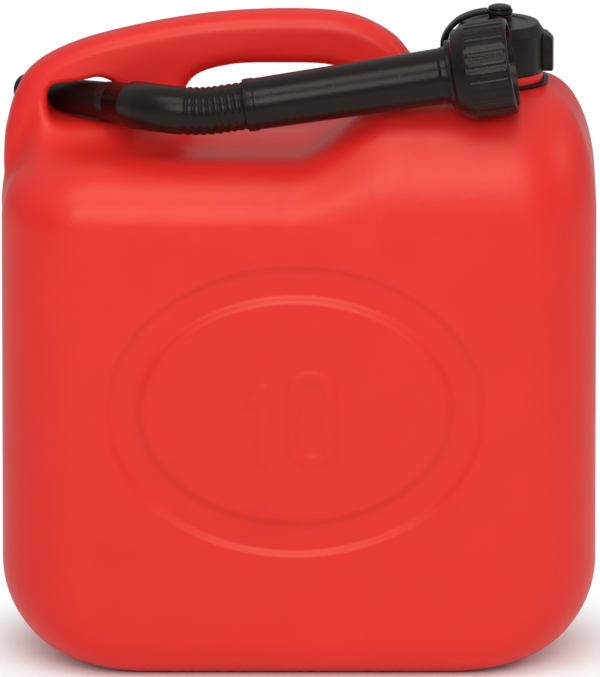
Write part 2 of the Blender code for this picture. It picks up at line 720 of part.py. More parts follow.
def barrel_axis():
    """Start of the barrel, the open end of its nut and the unit direction between them."""
    start = Vector((BARREL_START_X, BARREL_START_Y, STOW_HEIGHT + BARREL_START_RISE))
    end = Vector((NUT_END_X, NUT_Y, start.z))
    for _ in range(AXIS_ROUNDS):
        slope = (end.z - start.z) / (end.x - start.x)
        end.z = nut_axis_height(slope, NUT_SLEEVE_LENGTH)
        start.z = barrel_start_height(end.z)
    return start, end, (end - start).normalized()


def hose_route(start, direction):
    """The hose's axis: straight at both ends, with one smooth bend between."""
    straight = 2 * HOSE_RADIUS
    first = stow_point(HOSE_START)
    bend_start = stow_point(HOSE_START + straight)
    bend_end = start - direction * (straight - CUFF_LENGTH)
    reach = (bend_end - bend_start).length
    points = [first]
    steps = ELBOW_STEPS * 4
    for i in range(steps + 1):
        t = i / steps
        points.append(bend_start * (2 * t ** 3 - 3 * t ** 2 + 1)
                      + bend_end * (3 * t ** 2 - 2 * t ** 3)
                      + STOW_DIRECTION * reach * (t ** 3 - 2 * t ** 2 + t)
                      + direction * reach * (t ** 3 - t ** 2))
    points.append(start)
    return points


def at_length(points, wanted):
    """The point at a length along a polyline."""
    gone = 0.0
    for a, b in zip(points, points[1:]):
        step = (b - a).length
        if gone + step >= wanted:
            return a.lerp(b, (wanted - gone) / step)
        gone += step
    return points[-1]


def route_length(points):
    return sum((b - a).length for a, b in zip(points, points[1:]))


def tube(name, points, radii):
    """A capped tube along points, with a radius at each."""
    curve = bpy.data.curves.new(name, "CURVE")
    curve.dimensions = "3D"
    curve.bevel_depth = 1.0
    curve.bevel_resolution = HOSE_SIDES_RESOLUTION
    curve.use_fill_caps = True
    spline = curve.splines.new("POLY")
    spline.points.add(len(points) - 1)
    for knot, point, radius in zip(spline.points, points, radii):
        knot.co = (*point, 1)
        knot.radius = radius
    drawn = new_object(name + "_curve", curve)
    mesh = evaluated_mesh(drawn)
    bpy.data.objects.remove(drawn, do_unlink=True)
    bm = bmesh.new()
    bm.from_mesh(mesh)
    return object_from_bmesh(name, bm)


def build_hose(start, direction, surface):
    """Flexible pipe: cuff in the barrel, corrugated stretch, then a smooth bend to the tip."""
    route = hose_route(start, direction)
    length = route_length(route)
    ribbed = RIB_COUNT * RIB_PITCH
    cuff_radius = BARREL_START_RADIUS - PIPE_WALL - SEAT_GAP
    points = []
    radii = []
    for i in range(ELBOW_STEPS + 1):
        points.append(at_length(route, (length - ribbed) * i / ELBOW_STEPS))
        radii.append(HOSE_RADIUS)
    for i in range(RIB_COUNT):
        for share, radius in ((HOSE_GROOVE_SHARE, HOSE_RADIUS - RIB_DEPTH),
                              (HOSE_CREST_SHARE, HOSE_RADIUS)):
            points.append(at_length(route, length - ribbed + (i + share) * RIB_PITCH))
            radii.append(radius)
    for distance in (-SEAT_GAP, CUFF_LENGTH):
        points.append(start + direction * distance)
        radii.append(cuff_radius)
    hose = tube("spout_hose", points, radii)
    bore_points = [points[0] - STOW_DIRECTION * OVERRUN] + points[:ELBOW_STEPS + 1]
    bore_points += [at_length(route, length - ribbed * share) for share in BORE_BEND_SHARES]
    bore_points += [start, start + direction * (CUFF_LENGTH + OVERRUN)]
    bore = cuff_radius - PIPE_WALL
    combine(hose, tube("hose_bore", bore_points, [bore] * len(bore_points)), "DIFFERENCE")
    return place_origin(finish(hose, surface), STOW_CROSSING)


def aim(direction):
    """Rotation that turns +Z to the given direction."""
    return direction.to_track_quat("Z", "Y")


def set_along(body, base, direction):
    body.rotation_mode = "QUATERNION"
    body.rotation_quaternion = aim(direction)
    body.location = base
    return body


def build_tip(surface):
    """Tapered outlet pipe with a spigot in the hose."""
    spigot = HOSE_RADIUS - RIB_DEPTH - 2 * PIPE_WALL - SEAT_GAP
    length = TIP_REACH + HOSE_START - SEAT_GAP
    inside = min(spigot, TIP_END_RADIUS) - PIPE_WALL
    profile = ((inside, 0), (TIP_END_RADIUS, 0), (TIP_ROOT_RADIUS, length),
               (spigot, length), (spigot, length + CUFF_LENGTH), (inside, length + CUFF_LENGTH))
    tip = turned("spout_tip", profile, SMALL_ROUND_STEPS)
    return finish(set_along(tip, stow_point(-TIP_REACH), STOW_DIRECTION), surface)


def build_barrel(start, end, direction, surface):
    """Wide pipe of the spout, with the flange that the nut holds."""
    seat = (end - start).length - NUT_SLEEVE_LENGTH
    flange_top = seat + FLANGE_THICKNESS
    profile = ((BARREL_START_RADIUS - PIPE_WALL, 0), (BARREL_START_RADIUS, 0),
               (BARREL_END_RADIUS, seat - NUT_SHOULDER_LENGTH - NUT_COLLAR_LENGTH),
               (BARREL_END_RADIUS, seat), (FLANGE_RADIUS, seat), (FLANGE_RADIUS, flange_top),
               (BARREL_END_RADIUS - PIPE_WALL, flange_top))
    barrel = turned("spout_barrel", profile, ROUND_STEPS)
    return finish(set_along(barrel, start, direction), surface)


def nut_outline():
    """Ribbed circle of the nut's grip."""
    points = []
    crest_end, groove_start, groove_end = NUT_RIB_SHARES
    groove = NUT_RADIUS - NUT_RIB_DEPTH
    for i in range(NUT_RIB_COUNT):
        for share, radius in ((0.0, NUT_RADIUS), (crest_end, NUT_RADIUS),
                              (groove_start, groove), (groove_end, groove)):
            angle = math.tau * (i + share) / NUT_RIB_COUNT
            points.append((radius * math.cos(angle), radius * math.sin(angle)))
    return points


def build_nut(end, direction, surface):
    """Union nut: domed shoulder round the barrel, then a ribbed sleeve over the thread."""
    eye = NUT_EYE_RADIUS
    shoulder = NUT_COLLAR_LENGTH + NUT_SHOULDER_LENGTH
    seat = shoulder - SEAT_GAP
    domed = NUT_RADIUS - NUT_RIB_DEPTH
    dome = [(between(eye + NUT_WALL, domed, out), NUT_COLLAR_LENGTH + NUT_SHOULDER_LENGTH * along)
            for out, along in NUT_DOME_SHARES]
    profile = ((eye, 0), (eye + NUT_WALL, 0), (eye + NUT_WALL, NUT_COLLAR_LENGTH), *dome,
               (domed, shoulder), (domed, NUT_LENGTH), (THREAD_BORE, NUT_LENGTH),
               (THREAD_BORE, seat), (eye, seat))
    nut = turned("spout_nut", profile, ROUND_STEPS)
    grip = prism("grip", nut_outline(), shoulder, NUT_LENGTH - SEAT_GAP,
                 lambda u, v, level: (u, v, level))
    core = turned("core", ((0, -OVERRUN), (domed - NUT_RIB_DEPTH, -OVERRUN),
                           (domed - NUT_RIB_DEPTH, NUT_LENGTH + OVERRUN),
                           (0, NUT_LENGTH + OVERRUN)), ROUND_STEPS)
    combine(grip, core, "DIFFERENCE")
    combine(nut, grip, "UNION")
    return finish(set_along(nut, end - direction * NUT_LENGTH, direction), surface)


def build_spout_seal(start, end, direction, surface):
    base = (end - start).length - NUT_SLEEVE_LENGTH + FLANGE_THICKNESS + SEAT_GAP
    seal = ring_form("spout_seal", FLANGE_RADIUS - SPOUT_SEAL_WIDTH, FLANGE_RADIUS,
                     base, SEAL_THICKNESS, ROUND_STEPS)
    return finish(set_along(seal, start, direction), surface)


def main():
    clear_scene()
    red = material("red_plastic", (0.80, 0.045, 0.035), 0.38)
    black = material("black_plastic", (0.020, 0.018, 0.017), 0.36)
    rubber = material("black_rubber", (0.030, 0.030, 0.030), 0.70)
    start, end, direction = barrel_axis()
    build_can(red)
    build_cap(black)
    build_cap_seal(rubber)
    build_tether(black)
    build_tip(black)
    build_hose(start, direction, black)
    build_barrel(start, end, direction, black)
    build_nut(end, direction, black)
    build_spout_seal(start, end, direction, rubber)
    print("spout hole axis", [round(value, 5) for value in STOW_CROSSING])
    print("barrel axis from", [round(value, 5) for value in start], "to",
          [round(value, 5) for value in end])


main()
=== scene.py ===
"""Dresses a ten-litre fuel can: its moulded shell, screw cap, tether and pouring spout."""

import math
from itertools import product

import bmesh
import bpy
import numpy as np
from mathutils import Matrix, Vector


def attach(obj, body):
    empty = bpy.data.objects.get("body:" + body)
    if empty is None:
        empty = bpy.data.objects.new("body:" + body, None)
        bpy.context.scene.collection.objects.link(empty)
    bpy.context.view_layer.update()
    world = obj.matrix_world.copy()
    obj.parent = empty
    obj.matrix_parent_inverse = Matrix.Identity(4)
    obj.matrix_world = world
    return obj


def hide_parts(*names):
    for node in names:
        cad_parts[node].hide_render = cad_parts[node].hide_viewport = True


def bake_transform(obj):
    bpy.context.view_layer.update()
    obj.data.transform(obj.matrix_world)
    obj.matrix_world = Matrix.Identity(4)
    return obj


bl_info = {
    "name": "Fuel Can Dressing",
    "version": (1, 0, 0),
    "blender": (4, 5, 0),
    "location": "View3D > Sidebar > Fuel Can",
    "description": "Builds the moulded can, its screw cap, its tether and its pouring spout",
    "category": "Object",
}

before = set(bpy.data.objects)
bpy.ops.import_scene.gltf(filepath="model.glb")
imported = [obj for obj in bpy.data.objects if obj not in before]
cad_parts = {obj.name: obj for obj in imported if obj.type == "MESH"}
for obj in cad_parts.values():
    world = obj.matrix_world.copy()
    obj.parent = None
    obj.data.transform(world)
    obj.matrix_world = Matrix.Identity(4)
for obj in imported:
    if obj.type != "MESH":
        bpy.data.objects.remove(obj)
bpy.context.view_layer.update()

# The solids' own sizes, in metres
SEAT_GAP = 0.0003
RUNNING_GAP = 0.0006
HALF_WIDTH = 0.154
HALF_DEPTH = 0.070
LOW_TOP = 0.272
PLATEAU_RISE = 0.031
RISE_START_X = -0.004
RISE_LENGTH = 0.056
BASE_EDGE = 0.020
PLAN_CORNER = 0.040
LOW_SHOULDER = (0.034, 0.034)
HIGH_SHOULDER = (0.0435, 0.062)
SIDE_SHOULDER = 0.029
FACE_CROWN = 0.0025
GROOVE_CENTRE = (-0.002, 0.144)
GROOVE_HALF = (0.089, 0.068)
HANDLE_RISE = 0.0687
HANDLE_BAR = 0.0272
HANDLE_HALF = 0.0115
WEB_WIDTH = 0.031
HAND_HOLE_LENGTH = 0.09794
SPOUT_HOLE_LEFT = -0.1305
SPOUT_HOLE_RIGHT = -0.09044
SPOUT_HOLE_FLOOR = 0.2833
SPOUT_HOLE_HEIGHT = 0.0235
HAND_HOLE_LEFT = SPOUT_HOLE_RIGHT + WEB_WIDTH
HANDLE_OUTLINE = (
    (-0.720, -0.760), (-0.960, -0.620), (-0.992, -0.260), (-0.991, 0.020), (-0.980, 0.160),
    (-0.964, 0.300), (-0.940, 0.430), (-0.905, 0.545), (-0.830, 0.668), (-0.700, 0.788),
    (-0.500, 0.898), (-0.300, 0.970), (-0.100, 1.000), (0.070, 0.996), (0.180, 0.962),
    (0.262, 0.885), (0.330, 0.780), (0.378, 0.640), (0.405, 0.530), (0.438, 0.450),
    (0.455, 0.300), (0.440, -0.100), (0.350, -0.480), (0.150, -0.740), (-0.140, -0.800),
    (-0.440, -0.800),
)
HAND_HOLE = (
    (0.000, 0.450), (0.012, 0.700), (0.090, 0.880), (0.270, 0.985), (0.500, 1.000),
    (0.740, 0.985), (0.900, 0.880), (0.985, 0.680), (1.000, 0.430), (0.930, 0.100),
    (0.750, -0.120), (0.200, -0.120), (0.020, 0.100),
)
SPOUT_HOLE = (
    (0.000, 0.480), (0.025, 0.740), (0.117, 0.851), (0.284, 0.890), (0.466, 0.935),
    (0.596, 0.990), (0.673, 1.000), (0.790, 0.940), (0.905, 0.815), (0.985, 0.620),
    (1.004, 0.400), (0.965, 0.190), (0.850, 0.100), (0.560, 0.035), (0.300, 0.010),
    (0.110, 0.065), (0.025, 0.240),
)
STRAP = (
    (0.830, 0.000), (0.950, 0.010), (1.000, 0.120), (1.000, 0.420), (0.992, 0.560),
    (0.930, 0.680), (0.825, 0.790), (0.690, 0.885), (0.500, 0.955), (0.330, 0.990),
    (0.215, 1.000),
)
NECK_X = 0.104
NECK_RADIUS = 0.0206
NECK_BORE = 0.0176
COLLAR_RADIUS = 0.0225
PLATEAU_TOP = LOW_TOP + PLATEAU_RISE
COLLAR_TOP = PLATEAU_TOP + 0.0062
CAP_BASE = COLLAR_TOP + SEAT_GAP
CAP_TOP = CAP_BASE + 0.025
CAP_INNER_TOP = CAP_TOP - 0.0025
NECK_TOP = CAP_INNER_TOP - 0.0026
CAP_RADIUS = 0.0232
CAP_BORE = NECK_RADIUS + RUNNING_GAP
LUG_RADIUS = 0.028
LUG_HALF_ANGLE = math.asin(0.0066 / LUG_RADIUS)
THREAD_PITCH = 0.005
STUD_BOSS = (0.0062, 0.0042)
STUD_RADIUS = 0.0040
STUD_HEAD = (0.0060, 0.0018)
EYELET_BASE = CAP_TOP + STUD_BOSS[1] + SEAT_GAP
STRAP_THICKNESS = 0.0022
STRAP_WIDTH = 0.0080
STOW = Vector((0.612289, -0.783694, 0.104528))
STOW_CROSSING = Vector((-0.11047, 0, 0.2938))
TIP_REACH = 0.048
TIP_RADII = (0.0080, 0.0102)
HOSE_START = 0.026025
HOSE_RADIUS = 0.0125
CUFF = 0.010
RIB_COUNT = 9
RIB_PITCH = 0.0037
RIB_DEPTH = 0.0009
PIPE_WALL = 0.0015
BARREL_START = Vector((-0.02747, -0.048, 0.3015))
BARREL_END = Vector((0.1102, -0.0546, 0.32454))
BARREL_ALONG = (BARREL_END - BARREL_START).normalized()
BARREL_LENGTH = (BARREL_END - BARREL_START).length
BARREL_RADII = (0.0138, 0.0149)
NUT_SLEEVE = 0.0222
NUT_SHOULDER = 0.0085
NUT_COLLAR = 0.0025
NUT_RADIUS = 0.025
NUT_EYE = BARREL_RADII[1] + RUNNING_GAP
NUT_WALL = 0.0024
FLANGE_RADIUS = CAP_BORE - SEAT_GAP
FLANGE_THICKNESS = 0.0025

# Where the shell's upper part starts, and how finely its shoulder is found
UPPER_START = 0.2235
SHARE_HALVINGS = 13
# The groove's and the numerals' slopes, measured from their edges
GROOVE_SLOPE_START = 0.0045
GROOVE_SLOPE = 0.0055
NUMERAL_SLOPE_START = -0.0011
NUMERAL_SLOPE = 0.0018
NUMERAL_ONE = ((-0.0255, 0.1485), (-0.0185, 0.1555), (-0.0185, 0.1175))
ONE_HALF_STROKE = 0.0032
ZERO_CENTRE = (0.0062, 0.1400)
ZERO_HALF = (0.0100, 0.0225)
ZERO_CORNER = 0.0095
ZERO_HALF_STROKE = 0.0031
# The handle's fillet shrinks to a share near the can's left side
LEG_SIDE = -0.151
LEG_SIDE_RUN = 0.018
LEG_SIDE_SHARE = 0.12
# The shell's open bore under the neck, and the hollow that is cut inside the tank
BORE_EASE = 0.0006
BORE_FLOOR = 0.285
WELL_RADIUS = 0.050
WELL_FLOOR = 0.150
WELL_TOP = LOW_TOP - 0.030
WELL_WALLS = (0.004, 0.012)
WELL_CORNER = 0.036
# The box that the skin is sampled in, its blocks, and how its corners settle
SKIN_LOW = (-0.162, -0.080, -0.006)
SKIN_HIGH = (0.162, 0.080, 0.350)
BLOCK = 4
NEAR_BLOCKS = 2.2
FLATTEST = 0.05
LONGEST_MOVE = 0.0008

# Threads: how far their flights stand out, their widths, starts and turns
FLIGHT_RELIEF = 0.0010
FLIGHT_SUNK = 0.25
CREST_SHARE = 0.18
INNER_FLIGHT_WIDTH = 0.0020
NECK_FLIGHT_WIDTH = 0.0024
NECK_FLIGHT_START = COLLAR_TOP + 0.0040
NECK_FLIGHT_TURNS = 2.5
CAP_FLIGHT_START = COLLAR_TOP + 0.0015
CAP_FLIGHT_TURNS = 2.0
NUT_FLIGHT_START = 0.0075
NUT_FLIGHT_TURNS = 2.6

# The neck under its thread
NECK_ROOT = NECK_RADIUS - 0.0011
COLLAR_BASE = PLATEAU_TOP - 0.0035
NECK_SKIRT = 0.010
NECK_EASE = 0.0007
# Where a closed outline starts along its bore
BORE_SEAM = 0.001
# The cap's side between and on its lugs, and its bevel: out from its radius, down from its top
PLAIN_DROPS = (0.0085, 0.0070, 0.0062)
LUG_PROFILE = ((0.0048, 0.0085), (0.0018, 0.0055), (0, 0.0053))
CAP_BEVEL = ((0, 0.0046), (-0.0006, 0.0040), (-0.0032, 0))
DISH_RADIUS = 0.0150
DISH_DEPTH = 0.0006
DISH_SLOPE = 0.0007
BOSS_SLOPE = 0.0022
BOSS_FOOT = 0.0002
LUG_EDGE_ANGLE = 0.018
# The tether as drawn: its ring's width and height, its eyelet's width, and their edges
TETHER_RING = (0.0027, 0.0018)
EYELET_WIDTH = 0.0024
RING_EASE = 0.0006
STRAP_EASE = 0.0007
# The tip as drawn: how far it reaches past the solid, its lip, and its band beside the hose
TIP_REACH_ON = 0.004
TIP_LIP = 0.0046
TIP_LIP_SHARE = 0.06
TIP_END = 0.0064
LIP_RELIEF = 0.0005
# The length or height of a small step between bands
STEP = 0.0006
# How sharp the hose's ribs are
RIB_SHARPNESS = 2.2
# The bands at the barrel's ends, the nut's domed shoulder, and the ribs on the nut
BARREL_BAND = 0.0050
BAND_RELIEF = 0.0004
FAR_BAND_START = 0.0040
FAR_BAND_END = 0.0030
DOME = ((0.0016, 0.0004), (0.0040, 0.0016), (0.0046, 0.0030))
DOME_EDGE = ((0.0010, 0.0050), (0.0002, NUT_SHOULDER - 0.0012), (0, NUT_SHOULDER - 0.0002))
NUT_RIM = 0.0008
NUT_RIBS = 30
NUT_RIB_RELIEF = 0.0004
RIB_START = 0.0010
RIB_STOP = 0.0018
RIB_RISE = (0.06, 0.16)
RIB_FALL = (0.46, 0.16)

# How many steps go round or along a form
FLIGHT_STEPS = 48
RUN_OUT_STEPS = 6
RING_STEPS = 96
TIP_STEPS = 72
HOSE_STEPS = 48
BEND_STEPS = 48
BORE_RINGS = 24
PLAIN_RINGS = 21
RIB_RINGS = 8
CAP_STEPS = 288
NUT_STEPS = 420

# The stage
AIM = (0.0005, 0, 0.1648)
SOFTBOXES = (
    ("front_light", (0.02, -1.45, 0.93), (0, 0, 0.25), (0.85, 0.6), "front_power"),
    ("top_light", (-0.10, -0.60, 1.25), (0.04, 0, 0.30), (0.7, 0.45), "top_power"),
    ("side_light", (1.35, -0.20, 0.90), (0.10, 0, 0.22), (0.6, 0.6), "side_power"),
)
ZENITH_HEIGHT = 0.9
FLOOR_HALF = 3.0
SHADOW_FADE = (0.11, 0.22)
FAR_CLIP = 50


class CanLook(bpy.types.PropertyGroup):
    """Sizes and colours of the moulded can."""

    base_corner: bpy.props.FloatProperty(
        name="Base Corner", description="Radius of the tank's lower corners, seen from the front",
        default=0.056, unit="LENGTH")
    skin_step: bpy.props.FloatProperty(
        name="Skin Step", description="Spacing of the shell's faces", default=0.0016, min=0.001,
        max=0.006, unit="LENGTH")
    handle_edge: bpy.props.FloatProperty(
        name="Handle Edge", description="Radius along the handle's edges", default=0.0088,
        unit="LENGTH")
    root_fillet: bpy.props.FloatProperty(
        name="Root Fillet", description="Fillet where the handle grows out of the tank",
        default=0.018, unit="LENGTH")
    leg_fillet: bpy.props.FloatProperty(
        name="Leg Fillet", description="What the fillet gains round the handle's leg",
        default=0.016, unit="LENGTH")
    hole_lip: bpy.props.FloatProperty(
        name="Hole Lip", description="Rounding of the spout hole's rim", default=0.0045,
        unit="LENGTH")
    groove_depth: bpy.props.FloatProperty(
        name="Groove Depth", description="Depth of the oval groove", default=0.0022,
        unit="LENGTH")
    groove_band: bpy.props.FloatProperty(
        name="Groove Band", description="Width of the oval groove", default=0.020,
        unit="LENGTH")
    numeral_height: bpy.props.FloatProperty(
        name="Numeral Relief", description="How far the capacity numerals stand out",
        default=0.0008, unit="LENGTH")
    colour: bpy.props.FloatVectorProperty(
        name="Can Colour", description="Colour of the can's plastic", default=(0.76, 0.019, 0.016),
        size=3, min=0, max=1, subtype="COLOR")
    gloss: bpy.props.FloatProperty(
        name="Gloss", description="Strength of the red plastic's reflections", default=0.42,
        min=0, max=1)
    roughness: bpy.props.FloatProperty(
        name="Roughness", description="Least roughness of the red plastic", default=0.36,
        min=0, max=1)
    deep_colour: bpy.props.FloatVectorProperty(
        name="Deep Colour", description="Colour where the plastic is thicker",
        default=(0.71, 0.014, 0.013), size=3, min=0, max=1, subtype="COLOR")


class FittingLook(bpy.types.PropertyGroup):
    """Finish of the cap, the tether and the spout."""

    colour: bpy.props.FloatVectorProperty(
        name="Fitting Colour", description="Colour of the black plastic",
        default=(0.0070, 0.0045, 0.0035), size=3, min=0, max=1, subtype="COLOR")
    scuff_colour: bpy.props.FloatVectorProperty(
        name="Scuff Colour", description="Colour of rubbed black plastic",
        default=(0.022, 0.018, 0.015), size=3, min=0, max=1, subtype="COLOR")
    rubber_colour: bpy.props.FloatVectorProperty(
        name="Rubber Colour", description="Colour of the seals", default=(0.018, 0.018, 0.018),
        size=3, min=0, max=1, subtype="COLOR")
    gloss: bpy.props.FloatProperty(
        name="Gloss", description="Strength of the black plastic's reflections", default=0.22,
        min=0, max=1)
    rib_relief: bpy.props.FloatProperty(
        name="Rib Relief", description="Depth of the grooves between the hose's ribs",
        default=0.0006, unit="LENGTH")
    sleeve_length: bpy.props.FloatProperty(
        name="Sleeve Length", description="Length of the hose's slim end on the tip",
        default=0.0150, unit="LENGTH")
    edge_radius: bpy.props.FloatProperty(
        name="Edge Radius", description="Rounding of the fittings' edges", default=0.0006,
        unit="LENGTH")


class StageLook(bpy.types.PropertyGroup):
    """Camera, light and floor."""

    elevation: bpy.props.FloatProperty(
        name="Elevation", description="Height of the camera above the horizon",
        default=math.radians(14.5), subtype="ANGLE")
    distance: bpy.props.FloatProperty(
        name="Distance", description="Camera's distance from the can", default=12.0,
        unit="LENGTH")
    view_width: bpy.props.FloatProperty(
        name="View Width", description="Width seen at the can's middle", default=0.312,
        unit="LENGTH")
    front_power: bpy.props.FloatProperty(
        name="Front Light", description="Power of the softbox in front", default=8.8,
        unit="POWER")
    top_power: bpy.props.FloatProperty(
        name="Top Light", description="Power of the softbox overhead", default=3.6,
        unit="POWER")
    side_power: bpy.props.FloatProperty(
        name="Side Light", description="Power of the softbox at the neck's side", default=2.0,
        unit="POWER")
    horizon: bpy.props.FloatProperty(
        name="Horizon", description="Strength of the surroundings at the horizon", default=0.30)
    zenith: bpy.props.FloatProperty(
        name="Zenith", description="Strength of the surroundings overhead", default=0.70)
    mirrored: bpy.props.FloatProperty(
        name="Mirrored", description="Share of the white background that surfaces reflect",
        default=0.10, min=0, max=1)
    floor_colour: bpy.props.FloatVectorProperty(
        name="Floor Colour", description="Colour of the floor", default=(0.95, 0.95, 0.95),
        size=3, min=0, max=1, subtype="COLOR")


class FuelCanSettings(bpy.types.PropertyGroup):
    """Everything that can be changed about the fuel can."""

    can: bpy.props.PointerProperty(type=CanLook, name="Can", description="The moulded can")
    fitting: bpy.props.PointerProperty(
        type=FittingLook, name="Fittings", description="Cap, tether and spout")
    stage: bpy.props.PointerProperty(type=StageLook, name="Stage", description="The stage")


def settings():
    """The values that the panel shows."""
    return bpy.context.scene.fuel_can


# Shader plans

class Wire:
    """A shader socket; arithmetic on it adds Math nodes."""

    def __init__(self, plan, socket):
        self.plan = plan
        self.socket = socket

    def math(self, operation, *values):
        return self.plan.math_of(operation, *values)

    def __add__(self, other):
        return self.math("ADD", self, other)

    def __radd__(self, other):
        return self.math("ADD", other, self)

    def __sub__(self, other):
        return self.math("SUBTRACT", self, other)

    def __rsub__(self, other):
        return self.math("SUBTRACT", other, self)

    def __mul__(self, other):
        return self.math("MULTIPLY", self, other)

    def __rmul__(self, other):
        return self.math("MULTIPLY", other, self)

    def __abs__(self):
        return self.math("ABSOLUTE", self)

    def ramp(self, start, end):
        """0 below start, 1 above end, and smooth between."""
        return self.plan.node("ShaderNodeMapRange", {"interpolation_type": "SMOOTHSTEP"},
                              {0: self, 1: start, 2: end, 3: 0.0, 4: 1.0})


class Plan:
    """The nodes of a material, or of the surroundings."""

    def __init__(self, owner, shader="Principled BSDF", place="Object"):
        self.owner = owner
        owner.use_nodes = True
        self.tree = owner.node_tree
        self.shader = self.tree.nodes[shader]
        self.place = self.node("ShaderNodeTexCoord", {}, {}, place)

    def node(self, kind, choices, sockets, output=0):
        """A new node with its settings and then its sockets filled; returns one output."""
        made = self.tree.nodes.new(kind)
        for name, value in choices.items():
            setattr(made, name, value)
        for name, value in sockets.items():
            self.feed(made.inputs[name], value)
        return Wire(self, made.outputs[output])

    def feed(self, socket, value):
        if isinstance(value, Wire):
            self.tree.links.new(value.socket, socket)
        else:
            socket.default_value = value

    def give(self, **values):
        """Fill the shader's own sockets."""
        for name, value in values.items():
            self.feed(self.shader.inputs[name.replace("_", " ")], value)
        return self.owner

    def noise(self, scale, detail, place=None, roughness=0.5):
        return self.node("ShaderNodeTexNoise", {}, {
            "Vector": place or self.place, "Scale": scale, "Detail": detail,
            "Roughness": roughness})

    def stretched(self, scale):
        """The place, scaled by its own factor along each axis."""
        return self.node("ShaderNodeVectorMath", {"operation": "MULTIPLY"},
                         {0: self.place, 1: scale})

    def seen(self):
        """1 for rays from the camera and passing ones, a share for mirrored ones, 0 for others."""
        camera, mirrored, passing = (
            self.node("ShaderNodeLightPath", {}, {}, f"Is {kind} Ray")
            for kind in ("Camera", "Glossy", "Transmission"))
        mirrored = mirrored * settings().stage.mirrored
        return self.math_of("MAXIMUM", self.math_of("MAXIMUM", camera, mirrored), passing)

    def math_of(self, operation, *values):
        return self.node("ShaderNodeMath", {"operation": operation}, dict(enumerate(values)))

    def axis(self, name):
        """The place along one axis."""
        return self.node("ShaderNodeSeparateXYZ", {}, {0: self.place}, name)

    def tint(self, share, low, high):
        """A colour between two, by a share."""
        return self.node("ShaderNodeMix", {"data_type": "RGBA"},
                         {"Factor": share, 6: (*low, 1), 7: (*high, 1)}, 2)

    def bump(self, height, distance, strength, under=None):
        """A relief for the Normal socket, over another one if it is given."""
        sockets = {"Height": height, "Distance": distance, "Strength": strength}
        if under:
            sockets["Normal"] = under
        return self.node("ShaderNodeBump", {}, sockets)


def moulded_red():
    """Satin polyethylene with cloudy thickness, orange peel, fine grain and its mould seam."""
    look = settings().can
    plan = Plan(bpy.data.materials.new("moulded_red"))
    cloud = plan.noise(scale=7.0, detail=3.0)
    blotch = plan.noise(scale=38.0, detail=4.0)
    streaks = plan.stretched((60.0, 60.0, 14.0))
    rub = plan.noise(scale=1.0, detail=5.0, place=streaks, roughness=0.62).ramp(0.50, 0.80)
    peel = plan.noise(scale=330.0, detail=2.0)
    grain = plan.noise(scale=1900.0, detail=1.0)
    seam = 1 - abs(plan.axis("Y")).ramp(0.00015, 0.00065)
    shade = (cloud * 0.6 + blotch * 0.4).ramp(0.30, 0.72)
    surface = plan.bump(peel + grain * 0.35, distance=0.0002, strength=0.42)
    surface = plan.bump(seam, distance=0.00045, strength=0.8, under=surface)
    return plan.give(
        Base_Color=plan.tint(shade, look.deep_colour, look.colour),
        Roughness=look.roughness + blotch * 0.08 + rub * 0.07,
        Normal=surface, Specular_IOR_Level=look.gloss, Specular_Tint=(1.0, 0.92, 0.75, 1.0))


def moulded_black(name, roughness=0.22):
    """Satin black plastic with a fine grain, a little dust and rubbed patches."""
    look = settings().fitting
    plan = Plan(bpy.data.materials.new(name))
    blotch = plan.noise(scale=60.0, detail=4.0)
    streaks = plan.stretched((90.0, 320.0, 90.0))
    rub = plan.noise(scale=1.0, detail=5.0, place=streaks, roughness=0.6).ramp(0.56, 0.78)
    speck = plan.noise(scale=900.0, detail=2.0).ramp(0.66, 0.80)
    grain = plan.noise(scale=1500.0, detail=2.0)
    surface = plan.bump(grain + blotch * 0.6, distance=0.00016, strength=0.6)
    return plan.give(
        Base_Color=plan.tint(rub * 0.5 + speck * 0.3, look.colour, look.scuff_colour),
        Roughness=roughness + blotch * 0.10 + rub * 0.14,
        Normal=surface, Specular_IOR_Level=look.gloss, Specular_Tint=(1.0, 0.88, 0.80, 1.0))


def seal_rubber():
    """Matt black rubber."""
    look = settings().fitting
    plan = Plan(bpy.data.materials.new("seal_rubber"))
    grain = plan.noise(scale=1200.0, detail=3.0)
    cloud = plan.noise(scale=90.0, detail=2.0)
    pale = tuple(2 * value for value in look.rubber_colour)
    return plan.give(Base_Color=plan.tint(cloud.ramp(0.35, 0.75), look.rubber_colour, pale),
                     Roughness=0.62 + cloud * 0.2,
                     Normal=plan.bump(grain, distance=0.0002, strength=0.5))


# Mesh makers

def add_piece(name, mesh, surface, body, replaced=()):
    """Put a mesh in the scene as a piece that rides on a body."""
    piece = bpy.data.objects.new(name, mesh)
    bpy.context.scene.collection.objects.link(piece)
    mesh.materials.append(surface)
    if body:
        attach(piece, body)
    if replaced:
        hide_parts(*replaced)
    return piece


def mesh_from(name, bm, sharp=math.radians(40)):
    """Close a bmesh's seams, turn its faces outwards and shade it smooth between sharp rims."""
    bmesh.ops.remove_doubles(bm, verts=bm.verts, dist=0.000002)
    bmesh.ops.recalc_face_normals(bm, faces=bm.faces)
    mesh = bpy.data.meshes.new(name)
    bm.to_mesh(mesh)
    bm.free()
    mesh.shade_smooth()
    mesh.set_sharp_from_angle(angle=sharp)
    return mesh


def rounded(points, radius, steps=3):
    """An outline with its inner corners eased by a radius."""
    flat = [Vector(point) for point in points]
    eased = [flat[0]]
    for before, corner, after in zip(flat, flat[1:], flat[2:]):
        back = before - corner
        ahead = after - corner
        reach = min(radius, 0.45 * back.length, 0.45 * ahead.length)
        start = corner + back.normalized() * reach
        end = corner + ahead.normalized() * reach
        for i in range(steps + 1):
            t = i / steps
            eased.append(start * (1 - t) ** 2 + corner * 2 * t * (1 - t) + end * t * t)
    eased.append(flat[-1])
    return eased


